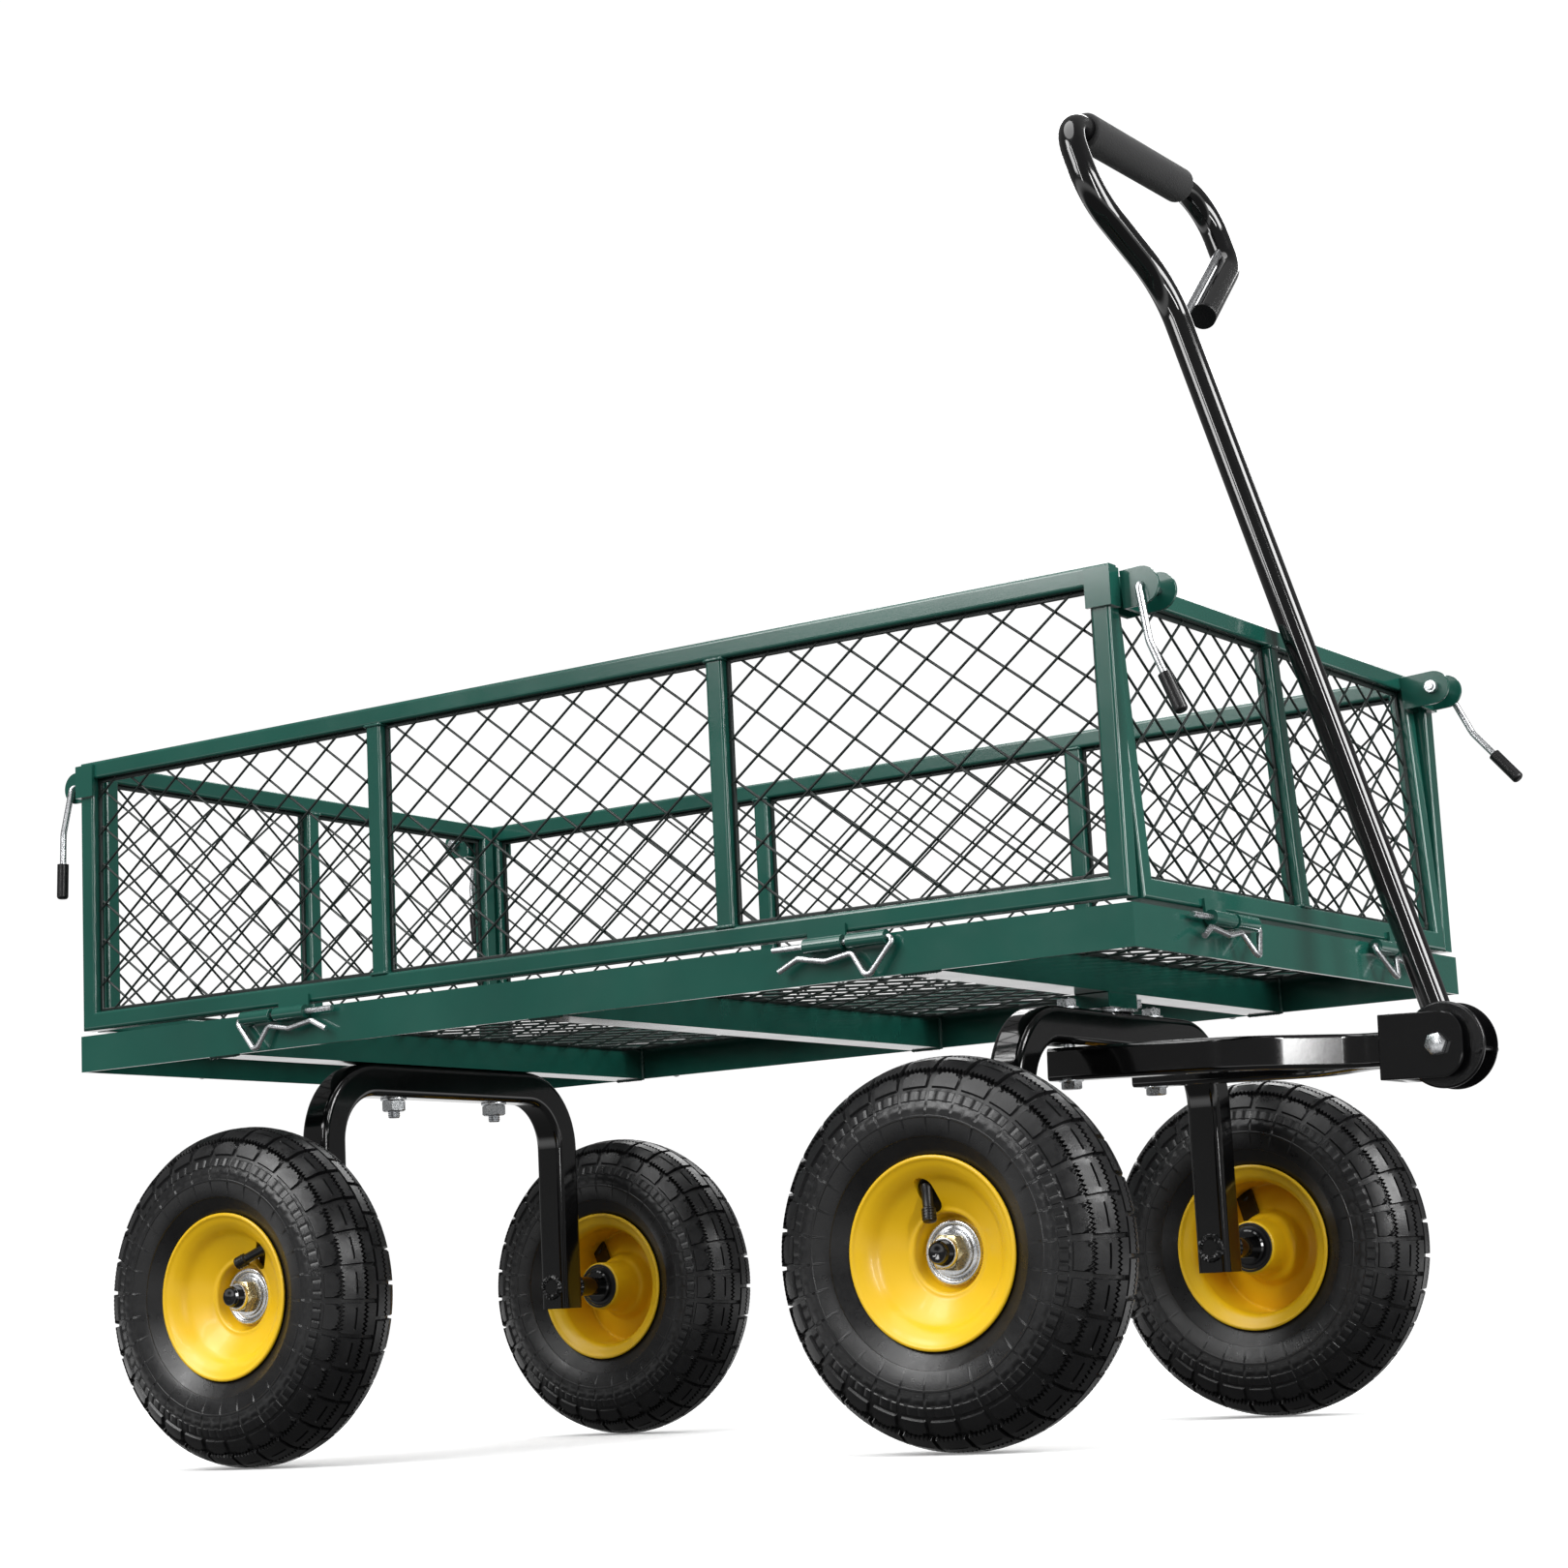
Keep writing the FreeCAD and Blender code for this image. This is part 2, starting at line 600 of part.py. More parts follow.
AXLES = {"rear": "Dims.deck_x + Dims.cross_shift - Dims.bay_pitch",
         "front": "Dims.deck_x + Dims.cross_shift + Dims.bay_pitch"}
leg_out = "Dims.arch_half + Dims.arch_tube / 2"
hub_out = "Dims.wheel_track / 2 + 2"
for end, x in AXLES.items():
    stubs, hardware = [], []
    for sign in (-1, 1):
        def span(near, far):
            return near if sign > 0 else "-(%s)" % far

        shaft = cylinder("stub_shaft", "Dims.stub_dia / 2", "124", x,
                         span("Dims.arch_half - 16", "Dims.arch_half - 16 + 124"), "Dims.axle_height", "Y")
        bead = cylinder("stub_weld", "Dims.stub_dia / 2 + 3", "3", x,
                        span(leg_out, leg_out + " + 3"), "Dims.axle_height", "Y")
        collar = cylinder("stub_collar", "Dims.stub_dia / 2 + 5", "9", x,
                          span("Dims.wheel_track / 2 - 42.3", "Dims.wheel_track / 2 - 33.3"),
                          "Dims.axle_height", "Y")
        stubs.append(fuse("stub_axle", [shaft, bead, collar]))
        disc = cylinder("washer_disc", "17", "2.5", x, span(hub_out + " + 0.3", hub_out + " + 2.8"),
                        "Dims.axle_height", "Y")
        hole = cylinder("washer_hole", "Dims.stub_dia / 2 + 0.2", "6", x,
                        span(hub_out + " - 1", hub_out + " + 5"), "Dims.axle_height", "Y")
        hardware.append(cut("wheel_washer", disc, [hole]))
        nut = hexagon("nut_body", "24", "9", x, span(hub_out + " + 2.9", hub_out + " + 11.9"),
                      "Dims.axle_height", "Y")
        thread = cylinder("nut_thread", "Dims.stub_dia / 2 + 0.2", "12", x,
                          span(hub_out + " + 2", hub_out + " + 14"), "Dims.axle_height", "Y")
        hardware.append(cut("wheel_nut", nut, [thread]))
    keep(group(end + "_stub_group", stubs), end + "_stub_axles")
    keep(group(end + "_hardware_group", hardware), end + "_wheel_hardware")

# rear arch bolts, hung from the crossmember, and their nuts under the arch
fasteners = []
rear_x = AXLES["rear"]
for sign in (-1, 1):
    y = "%g" % (sign * BOLT_Y)
    shank = cylinder("rear_shank", "5", "Dims.arch_tube + 16", rear_x, y,
                     "Dims.deck_bottom - Dims.arch_tube - 16")
    fasteners.append(shank)
    body = hexagon("rear_nut_body", "17", "9", rear_x, y, "Dims.deck_bottom - Dims.arch_tube - 9")
    hole = cylinder("rear_nut_hole", "5.2", "12", rear_x, y, "Dims.deck_bottom - Dims.arch_tube - 10")
    fasteners.append(cut("rear_nut", body, [hole]))
keep(group("rear_fastener_group", fasteners), "rear_arch_fasteners")

# steering pivot under the front crossmember
front_x = AXLES["front"]
slab = block("king_slab", "Dims.deck_tube", "42", "Dims.deck_bottom - Dims.front_arch_top - 2.3",
             front_x + " - Dims.deck_tube / 2", "-26", "Dims.front_arch_top + 2.3")
slab_hole = cylinder("king_slab_hole", "8.2", "20", front_x, "0", "Dims.front_arch_top")
keep(cut("king_block_cut", slab, [slab_hole]), "king_pin_block")
king_shaft = cylinder("king_shaft", "8", "Dims.deck_bottom - Dims.front_arch_top + Dims.arch_tube + 14",
                      front_x, "0", "Dims.front_arch_top - Dims.arch_tube - 14")
king_hex = hexagon("king_nut_body", "24", "10", front_x, "0", "Dims.front_arch_top - Dims.arch_tube - 10.5")
king_hole = cylinder("king_nut_hole", "8.2", "14", front_x, "0", "Dims.front_arch_top - Dims.arch_tube - 12")
king_nut = cut("king_nut_cut", king_hex, [king_hole])
keep(group("king_pin_group", [king_shaft, king_nut]), "king_pin")
thrust = cylinder("thrust_disc", "17", "2", front_x, "0", "Dims.front_arch_top")
thrust_hole = cylinder("thrust_hole", "8.3", "4", front_x, "0", "Dims.front_arch_top - 1")
keep(cut("thrust_cut", thrust, [thrust_hole]), "thrust_washer")
stop_x = front_x + " + 4"
stop_shank = cylinder("stop_shank", "4", "10.5", stop_x, "27", "Dims.deck_bottom - 10.5")
stop_head = hexagon("stop_head", "13", "5.5", stop_x, "27", "Dims.deck_bottom - 8")
keep(fuse("stop_bolt_fuse", [stop_shank, stop_head]), "stop_bolt")


# ---------------------------------------------------------------- drawbar and clevis

PIVOT = V(DECK_X + dim("pivot_x"), 0, dim("pivot_z"))
BAR_H, BAR_W, BAR_WALL = dim("bar_height"), dim("bar_width"), dim("bar_wall")
TILT = FreeCAD.Rotation(Y_AXIS, dim("bar_tilt"))
CLEVIS = dim("clevis_size")
C_WALL = dim("clevis_wall")
ARM_END, ARM_START = -32.0, -268.0
DIP = -0.8


def arm(side):
    """One arm of the hairpin drawbar, from its rear end to inside the clevis."""
    wide, close = side * dim("bar_half"), side * BAR_W / 2
    points = [V(ARM_START, wide, DIP), V(-123, wide, DIP), V(-63, close, DIP), V(ARM_END, close, DIP)]
    path = filleted_path(points, [70.0, 70.0 / 2])
    outer = swept(path, rounded_section(BAR_W, BAR_H, 3.0))
    inner = swept(path, rounded_section(BAR_W - 2 * BAR_WALL, BAR_H - 2 * BAR_WALL, 1.5))
    return outer.cut(inner)


arm_holes = []
for side in (-1, 1):
    at = TILT.inverted().multVec(V(FRONT_X, side * BOLT_Y, PIVOT.z) - PIVOT)
    down = TILT.inverted().multVec(Z_AXIS)
    arm_holes.append(Part.makeCylinder(4.5, 80.0, at - down * 40, down))
arms = [arm(side).cut(hole) for side, hole in zip((-1, 1), arm_holes)]
feature("drawbar", Part.makeCompound(arms), PIVOT, TILT)

rear, walls, front = -42.0, -30.0, 17.0
body = Part.makeBox(front - rear, CLEVIS, CLEVIS, V(rear, -CLEVIS / 2, -CLEVIS / 2))
inside = CLEVIS - 2 * C_WALL
body = body.cut(Part.makeBox(front - rear + 2, inside, inside, V(rear - 1, -inside / 2, -inside / 2)))
body = body.cut(Part.makeBox(front - walls + 1, inside, CLEVIS + 2, V(walls, -inside / 2, -CLEVIS / 2 - 1)))
nose = Part.makeBox(front - rear, CLEVIS + 2, CLEVIS, V(rear, -CLEVIS / 2 - 1, -CLEVIS / 2))
nose_edges = [e for e in nose.Edges if abs(e.CenterOfMass.x - front) < 0.1
              and abs(abs(e.CenterOfMass.z) - CLEVIS / 2) < 0.1]
body = body.common(nose.makeFillet(16.0, nose_edges))
BOLT_R = dim("pivot_bolt") / 2
body = body.cut(Part.makeCylinder(BOLT_R + 0.2, CLEVIS + 4, V(0, -CLEVIS / 2 - 2, 0), Y_AXIS))
feature("clevis", body.removeSplitter(), PIVOT, TILT)

pivot_x = "Dims.deck_x + Dims.pivot_x"
shank = cylinder("pivot_shank", "Dims.pivot_bolt / 2", "Dims.clevis_size + 8", pivot_x,
                 "-Dims.clevis_size / 2", "Dims.pivot_z", "Y")
head = hexagon("pivot_head", "13", "5.3", pivot_x, "-Dims.clevis_size / 2 - 5.3", "Dims.pivot_z", "Y")
bolt = fuse("pivot_bolt_fuse", [shank, head])
nut = hexagon("pivot_nut_body", "13", "6.5", pivot_x, "Dims.clevis_size / 2", "Dims.pivot_z", "Y")
hole = cylinder("pivot_nut_hole", "Dims.pivot_bolt / 2 + 0.2", "10", pivot_x,
                "Dims.clevis_size / 2 - 1", "Dims.pivot_z", "Y")
keep(group("pivot_bolt_group", [bolt, cut("pivot_nut_cut", nut, [hole])]), "pivot_bolt")
spacers = []
for start in ("-Dims.clevis_size / 2 + Dims.clevis_wall", "Dims.clevis_size / 2 - Dims.clevis_wall - 5.4"):
    ring = cylinder("spacer_ring", "8", "5.4", pivot_x, start, "Dims.pivot_z", "Y")
    hole = cylinder("spacer_hole", "Dims.pivot_bolt / 2 + 0.2", "8", pivot_x, start + " - 1",
                    "Dims.pivot_z", "Y")
    spacers.append(cut("pivot_spacer", ring, [hole]))
keep(group("spacer_group", spacers), "pivot_spacers")

fasteners = []
bar_low = "Dims.front_arch_top - Dims.arch_tube - Dims.bar_height - 1.9"
for sign in (-1, 1):
    y = "%g" % (sign * BOLT_Y)
    shank = cylinder("front_shank", "4", "Dims.arch_tube + Dims.bar_height + 10", front_x, y, bar_low)
    head = hexagon("front_head", "13", "5.3", front_x, y, bar_low + " - 5.3")
    fasteners.append(fuse("front_bolt", [shank, head]))
    body = hexagon("front_nut_body", "13", "6.2", front_x, y, "Dims.front_arch_top")
    hole = cylinder("front_nut_hole", "4.2", "10", front_x, y, "Dims.front_arch_top - 1")
    fasteners.append(cut("front_nut", body, [hole]))
keep(group("front_fastener_group", fasteners), "drawbar_fasteners")


# ---------------------------------------------------------------- handle

LEAN = FreeCAD.Rotation(Y_AXIS, -dim("handle_lean"))
H_RAD = dim("handle_tube") / 2
H_WALL = dim("handle_wall")
TOP_Z = 713.0
LOOP = [(0, -8.0), (0, 591.4), (-74.5, 647.4), (-74.5, TOP_Z), (144.5, TOP_Z), (144.5, 650.0), (54.8, 583.0)]
LOOP_RADII = [60.0, 45.0, 28.0, 35.0, 25.0]
loop_path = filleted_path([V(0, y, z) for y, z in LOOP], LOOP_RADII)
tube = swept(loop_path, round_section(H_RAD)).cut(swept(loop_path, round_section(H_RAD - H_WALL)))
tube = tube.cut(Part.makeCylinder(BOLT_R + 0.08, 40.0, V(0, -20, 0), Y_AXIS))

# tow pin parallel to the returning branch, on its inner side
branch = (V(0, *LOOP[5]) - V(0, *LOOP[6])).normalize()
inner_side = V(0, -branch.z, branch.y)
pin_offset = 14.0
pin_line = V(0, *LOOP[5]) + inner_side * pin_offset
PIN_R = dim("tow_pin_dia") / 2


def on_pin(y):
    return pin_line + branch * ((y - pin_line.y) / branch.y)


PIN_LOW, PIN_HIGH = on_pin(3.5), on_pin(138.5)
bore_low, bore_high = on_pin(0.0), on_pin(144.5)
tube = tube.cut(Part.makeCylinder(PIN_R + 0.08, (bore_high - bore_low).Length, bore_low, branch))
feature("handle_tube", tube, PIVOT, LEAN)
feature("tow_pin", Part.makeCylinder(PIN_R, (PIN_HIGH - PIN_LOW).Length, PIN_LOW, branch), PIVOT, LEAN)

cap_end = V(0, *LOOP[6])
cap = Part.makeCylinder(H_RAD, 3.0, cap_end, -branch)
cap_rim = [e for e in cap.Edges if e.CenterOfMass.distanceToPoint(cap_end - branch * 3) < 0.1]
cap = cap.makeFillet(1.0, cap_rim)
cap = cap.fuse(Part.makeCylinder(H_RAD - H_WALL - 0.2, 9.0, cap_end, branch))
feature("handle_end_cap", cap, PIVOT, LEAN)

grip_start, grip_length = V(0, -45, TOP_Z), 151.0
grip = Part.makeCylinder(dim("grip_dia") / 2, grip_length, grip_start, Y_AXIS)
grip = grip.makeFillet(2.5, [e for e in grip.Edges if e.Curve.TypeId == "Part::GeomCircle"])
grip = grip.cut(Part.makeCylinder(H_RAD + 0.2, grip_length + 2, grip_start - Y_AXIS, Y_AXIS))
feature("handle_grip", grip, PIVOT, LEAN)

discs = []
for start in (-12.7, 10.1):
    disc = Part.makeCylinder(dim("disc_dia") / 2, 2.6, V(0, start, 0), Y_AXIS)
    outer_face = start if start < 0 else start + 2.6
    rim = [e for e in disc.Edges if e.Curve.TypeId == "Part::GeomCircle"
           and abs(e.CenterOfMass.y - outer_face) < 0.01]
    disc = disc.makeFillet(1.6, rim)
    disc = disc.cut(Part.makeCylinder(BOLT_R + 0.08, 6.0, V(0, start - 1, 0), Y_AXIS))
    disc = disc.cut(Part.makeCylinder(2.2, 6.0, V(22.0, start - 1, -11.0), Y_AXIS))
    discs.append(disc)
feature("handle_cover_discs", Part.makeCompound(discs), PIVOT, LEAN)
screw = Part.makeCylinder(2.0, 26.6, V(22.0, -13.3, -11.0), Y_AXIS)
for y in (-14.9, 12.8):
    screw = screw.fuse(Part.makeCylinder(3.4, 2.1, V(22.0, y, -11.0), Y_AXIS))
feature("handle_disc_screw", screw, PIVOT, LEAN)


# ---------------------------------------------------------------- wheels

RIM_R, RIM_HALF = dim("rim_dia") / 2, dim("rim_width") / 2
TYRE_R, TYRE_HALF = dim("tyre_dia") / 2, dim("tyre_width") / 2


def revolved(points):
    """Revolves a closed outline, given as (y, r) pairs, about the Y axis."""
    outline = Part.makePolygon([V(0, y, r) for y, r in points + points[:1]])
    return Part.Face(outline).revolve(V(0, 0, 0), Y_AXIS, 360)


def rim_shape():
    outline = [
        (-33, 14), (2, 14), (2, 19), (-2, 19), (0, 23.5), (9, 26.5), (15, 38), (21.5, 46.5), (28.5, 57),
        (RIM_HALF, RIM_R - 3), (RIM_HALF, RIM_R), (29, RIM_R), (26, 55), (24, 50.5), (-24, 50.5),
        (-26, 55), (-29, RIM_R), (-RIM_HALF, RIM_R), (-RIM_HALF, RIM_R - 3), (-28.5, 57), (-24, 47.5),
        (16, 47.5), (11.5, 40), (5.5, 28.5), (-4, 24), (-5, 19), (-33, 19),
    ]
    rim = revolved(outline)
    rim.rotate(V(0, 0, 0), Y_AXIS, 180)
    low, high, half = 33.0, 41.0, 5.0
    sides = [Part.makeLine(V(-half, 2, low), V(-half, 2, high)), Part.makeLine(V(half, 2, high), V(half, 2, low))]
    ends = [Part.Arc(V(-half, 2, high), V(0, 2, high + half), V(half, 2, high)).toShape(),
            Part.Arc(V(half, 2, low), V(0, 2, low - half), V(-half, 2, low)).toShape()]
    slot = Part.Face(Part.Wire([sides[0], ends[0], sides[1], ends[1]])).extrude(V(0, 24, 0))
    return rim.cut(slot)


def tyre_shape():
    right = [
        Part.makeLine(V(0, 0, 118), V(0, 19, 114)),
        Part.Arc(V(0, 19, 114), V(0, 32, 94), V(0, 27, 74)).toShape(),
        Part.makeLine(V(0, 27, 74), V(0, 18.5, 60)),
        Part.makeLine(V(0, 18.5, 60), V(0, 18.5, 50.8)),
        Part.makeLine(V(0, 18.5, 50.8), V(0, 23.6, 50.8)),
        Part.makeLine(V(0, 23.6, 50.8), V(0, 25.4, 55)),
        Part.makeLine(V(0, 25.4, 55), V(0, 28.4, 64)),
        Part.Arc(V(0, 28.4, 64), V(0, TYRE_HALF, 89), V(0, 33.5, 111)).toShape(),
        Part.Arc(V(0, 33.5, 111), V(0, 29.8, 116.6), V(0, 24, 121)).toShape(),
        Part.makeLine(V(0, 24, 121), V(0, 18, 123.8)),
        Part.makeLine(V(0, 18, 123.8), V(0, 17.4, 120.6)),
        Part.makeLine(V(0, 17.4, 120.6), V(0, 14.6, 120.6)),
        Part.makeLine(V(0, 14.6, 120.6), V(0, 14, 125)),
        Part.Arc(V(0, 14, 125), V(0, 0, TYRE_R), V(0, -14, 125)).toShape(),
    ]
    left = [edge.mirror(V(0, 0, 0), Y_AXIS) for edge in right[:-1]]
    wire = Part.Wire(Part.__sortEdges__(right + left))
    carcass = Part.Face(wire).revolve(V(0, 0, 0), Y_AXIS, 360)
    notch = Part.makeBox(5.0, 16.0, 10.0, V(-2.5, 24.6, 113.5))
    notches = []
    for index in range(24):
        for flip in (1, -1):
            tool = notch.copy() if flip > 0 else notch.mirror(V(0, 0, 0), Y_AXIS)
            tool.rotate(V(0, 0, 0), Y_AXIS, 15.0 * index + (0 if flip > 0 else 7.5))
            notches.append(tool)
    return carcass.cut(Part.makeCompound(notches))


def bearings_shape():
    rings = []
    for start in (-33.0, -6.2):
        ring = Part.makeCylinder(13.8, 8.0, V(0, start, 0), Y_AXIS)
        rings.append(ring.cut(Part.makeCylinder(STUB_R + 0.08, 10.0, V(0, start - 1, 0), Y_AXIS)))
    return Part.makeCompound(rings)


def valve_shape():
    base, tip = V(0, 14.0, 42.6), V(0, 20.0, 25.0)
    axis = (tip - base).normalize()
    stem = Part.makeCylinder(3.6, 6.0, base, axis)
    stem = stem.fuse(Part.makeCylinder(2.8, 12.6, base + axis * 6, axis))
    return stem.fuse(Part.makeCylinder(3.4, 7.0, base + axis * 11.6, axis))


rim, bearings = rim_shape(), bearings_shape()
tyre = Part.makeCompound([tyre_shape(), valve_shape()])
WHEELS = {
    "front_right": (FRONT_X, -1, -14.0),
    "front_left": (FRONT_X, 1, -30.0),
    "rear_right": (REAR_X, -1, 40.0),
    "rear_left": (REAR_X, 1, -45.0),
}
for name, (x, side, valve_angle) in WHEELS.items():
    base = V(x, side * TRACK, AXLE_Z)
    turn = FreeCAD.Rotation(Y_AXIS, valve_angle)
    if side < 0:
        turn = turn.multiply(FreeCAD.Rotation(Z_AXIS, 180))
    feature("tyre_" + name, tyre.copy(), base, turn)
    feature("rim_" + name, rim.copy(), base, turn)
    feature("bearings_" + name, bearings.copy(), base, turn)


# ---------------------------------------------------------------- write out

doc.recompute()
for obj in doc.Objects:
    for state in ("Invalid", "Error"):
        if state in obj.State:
            raise RuntimeError("%s is in state %s" % (obj.Label, obj.State))
os.makedirs("parts", exist_ok=True)
for obj in NODES:
    if obj.Shape.isNull() or not obj.Shape.isValid():
        raise RuntimeError("%s has no valid shape" % obj.Label)
    obj.Shape.exportStep("parts/%s.step" % obj.Label)
print(len(NODES), "nodes")
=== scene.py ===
import math
import random

import bmesh
import bpy
from mathutils import Matrix, Vector


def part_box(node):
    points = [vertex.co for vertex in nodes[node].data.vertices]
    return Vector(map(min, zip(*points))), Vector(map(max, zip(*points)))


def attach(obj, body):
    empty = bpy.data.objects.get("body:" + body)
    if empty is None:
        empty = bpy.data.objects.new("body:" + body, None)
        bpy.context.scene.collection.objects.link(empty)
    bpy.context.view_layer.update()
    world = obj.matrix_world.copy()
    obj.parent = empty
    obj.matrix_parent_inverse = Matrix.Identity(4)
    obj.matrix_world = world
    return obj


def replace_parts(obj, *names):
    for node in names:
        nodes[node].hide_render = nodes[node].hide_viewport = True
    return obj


# Tow-behind garden cart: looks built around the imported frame. Shapes are worked out in millimetres
# and turned into the scene's metres when a mesh is made. Shader distances, lights and the floor
# are in metres.

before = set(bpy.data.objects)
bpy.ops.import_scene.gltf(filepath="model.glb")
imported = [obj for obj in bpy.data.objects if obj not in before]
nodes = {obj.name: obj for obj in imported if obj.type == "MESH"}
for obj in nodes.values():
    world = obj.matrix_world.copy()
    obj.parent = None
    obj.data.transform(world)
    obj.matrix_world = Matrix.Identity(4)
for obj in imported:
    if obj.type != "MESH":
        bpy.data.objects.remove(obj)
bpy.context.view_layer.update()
rng = random.Random(7)

WHEELS = ("front_right", "front_left", "rear_right", "rear_left")


def mm(node):
    """Low and high corner of a node's box, in millimetres."""
    low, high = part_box(node)
    return low * 1000.0, high * 1000.0


def middle(node):
    """Centre of a node's box, in millimetres."""
    low, high = mm(node)
    return (low + high) / 2


DECK_LOW, DECK_HIGH = mm("deck_frame")
DECK = (DECK_LOW + DECK_HIGH) / 2
CROSS_LOW, CROSS_HIGH = mm("deck_crossmembers")
TUBE = DECK_HIGH.z - DECK_LOW.z
AXLE_Z = middle("rear_stub_axles").z
REAR_X = middle("rear_stub_axles").x
FRONT_X = middle("front_stub_axles").x
PIVOT = middle("handle_cover_discs")


# ---------------------------------------------------------------- materials

def shade(name, color, roughness, metallic=0.0, coat=0.0, coat_roughness=0.1, sheen=0.0):
    """New node material with its shader; detail is added by the functions below."""
    mat = bpy.data.materials.new(name)
    mat.use_nodes = True
    tree = mat.node_tree
    shader = tree.nodes["Principled BSDF"]
    shader.inputs["Base Color"].default_value = (*color, 1)
    shader.inputs["Roughness"].default_value = roughness
    shader.inputs["Metallic"].default_value = metallic
    shader.inputs["Coat Weight"].default_value = coat
    shader.inputs["Coat Roughness"].default_value = coat_roughness
    shader.inputs["Sheen Weight"].default_value = sheen
    shader.inputs["IOR"].default_value = 1.5
    mat.diffuse_color = (*color, 1)
    return mat, tree, shader


def node(tree, kind, links=None, **values):
    """Adds a shader node, sets its properties and links sockets to its inputs."""
    made = tree.nodes.new(kind)
    for key, value in values.items():
        if key in made.inputs:
            made.inputs[key].default_value = value
        else:
            setattr(made, key, value)
    for key, socket in (links or {}).items():
        tree.links.new(socket, made.inputs[key])
    return made


def mix_color(tree, first, second):
    """Mix node from a linked colour to a fixed one; its factor is input 0 and its result output 2."""
    made = tree.nodes.new("ShaderNodeMix")
    made.data_type = "RGBA"
    tree.links.new(first, made.inputs[6])
    made.inputs[7].default_value = (*second, 1)
    return made


def noise(tree, where, scale, detail=3.0, rough=0.5):
    """Noise factor at the given coordinates."""
    made = node(tree, "ShaderNodeTexNoise", {"Vector": where})
    made.inputs["Scale"].default_value = scale
    made.inputs["Detail"].default_value = detail
    made.inputs["Roughness"].default_value = rough
    return made.outputs["Fac"]


def ramp(tree, fac, stops):
    """Colours picked by a factor."""
    made = node(tree, "ShaderNodeValToRGB", {"Fac": fac})
    elements = made.color_ramp.elements
    while len(elements) < len(stops):
        elements.new(0.5)
    for element, (position, color) in zip(elements, stops):
        element.position = position
        element.color = (*color, 1) if len(color) == 3 else (color[0], color[0], color[0], 1)
    return made.outputs["Color"]


def remap(tree, fac, low, high, out_low, out_high):
    """A value mapped from one range to another."""
    made = node(tree, "ShaderNodeMapRange", {"Value": fac})
    for key, value in (("From Min", low), ("From Max", high), ("To Min", out_low), ("To Max", out_high)):
        made.inputs[key].default_value = value
    return made.outputs["Result"]


def bump(tree, shader, height, strength, distance, before=None):
    """Surface relief from a height value, on top of an earlier normal if before gives one."""
    made = node(tree, "ShaderNodeBump", {"Height": height})
    made.inputs["Strength"].default_value = strength
    made.inputs["Distance"].default_value = distance
    if before is not None:
        tree.links.new(before, made.inputs["Normal"])
    tree.links.new(made.outputs["Normal"], shader.inputs["Normal"])
    return made.outputs["Normal"]


def where(tree):
    """Place on the object, the same at every pose."""
    return tree.nodes.new("ShaderNodeTexCoord").outputs["Object"]


def paint(name, dark, light, roughness, peel=0.05, coat=0.4, speck=0.0):
    """Powder coat or gloss paint: soft mottling, orange peel and fine dust specks."""
    mat, tree, shader = shade(name, light, roughness, coat=coat, coat_roughness=0.08)
    spot = where(tree)
    base = ramp(tree, noise(tree, spot, 9.0, 4.0), [(0.3, dark), (0.7, light)])
    fine = noise(tree, spot, 900.0, 2.0)
    dust = ramp(tree, fine, [(0.70, (0.0,)), (0.80, (1.0,))])
    mixed = mix_color(tree, base, tuple(min(1.0, c * 1.6 + 0.02) for c in light))
    weight = node(tree, "ShaderNodeMath", {0: dust}, operation="MULTIPLY")
    weight.inputs[1].default_value = speck
    tree.links.new(weight.outputs[0], mixed.inputs[0])
    rough = remap(tree, noise(tree, spot, 22.0, 5.0, 0.6), 0.3, 0.7, roughness * 0.8, roughness * 1.3)
    tree.links.new(rough, shader.inputs["Roughness"])
    tree.links.new(mixed.outputs[2], shader.inputs["Base Color"])
    bump(tree, shader, noise(tree, spot, 260.0, 2.0), peel, 0.0004)
    return mat


def zinc(name, light, dark, roughness):
    """Bright plated steel with a faint cloudy tint and fine grain."""
    mat, tree, shader = shade(name, light, roughness, metallic=1.0)
    spot = where(tree)
    cloud = noise(tree, spot, 60.0, 4.0, 0.6)
    tree.links.new(ramp(tree, cloud, [(0.35, dark), (0.65, light)]), shader.inputs["Base Color"])
    fine = noise(tree, spot, 700.0, 3.0)
    rough = remap(tree, fine, 0.3, 0.7, roughness * 0.75, roughness * 1.4)
    tree.links.new(rough, shader.inputs["Roughness"])
    bump(tree, shader, fine, 0.03, 0.0001)
    return mat


def rubber(name):
    """Moulded tyre rubber: fine grain, cloudy colour and patches of gloss."""
    mat, tree, shader = shade(name, (0.006, 0.006, 0.0065), 0.38)
    spot = where(tree)
    cloud = noise(tree, spot, 26.0, 5.0, 0.6)
    tree.links.new(ramp(tree, cloud, [(0.3, (0.0045, 0.0045, 0.005)), (0.72, (0.0105, 0.0105, 0.011))]),
                   shader.inputs["Base Color"])
    grain = noise(tree, spot, 1100.0, 3.0, 0.6)
    patch = noise(tree, spot, 90.0, 4.0, 0.7)
    tree.links.new(remap(tree, patch, 0.3, 0.7, 0.24, 0.40), shader.inputs["Roughness"])
    first = bump(tree, shader, grain, 0.16, 0.0005)
    bump(tree, shader, patch, 0.10, 0.0010, first)
    return mat


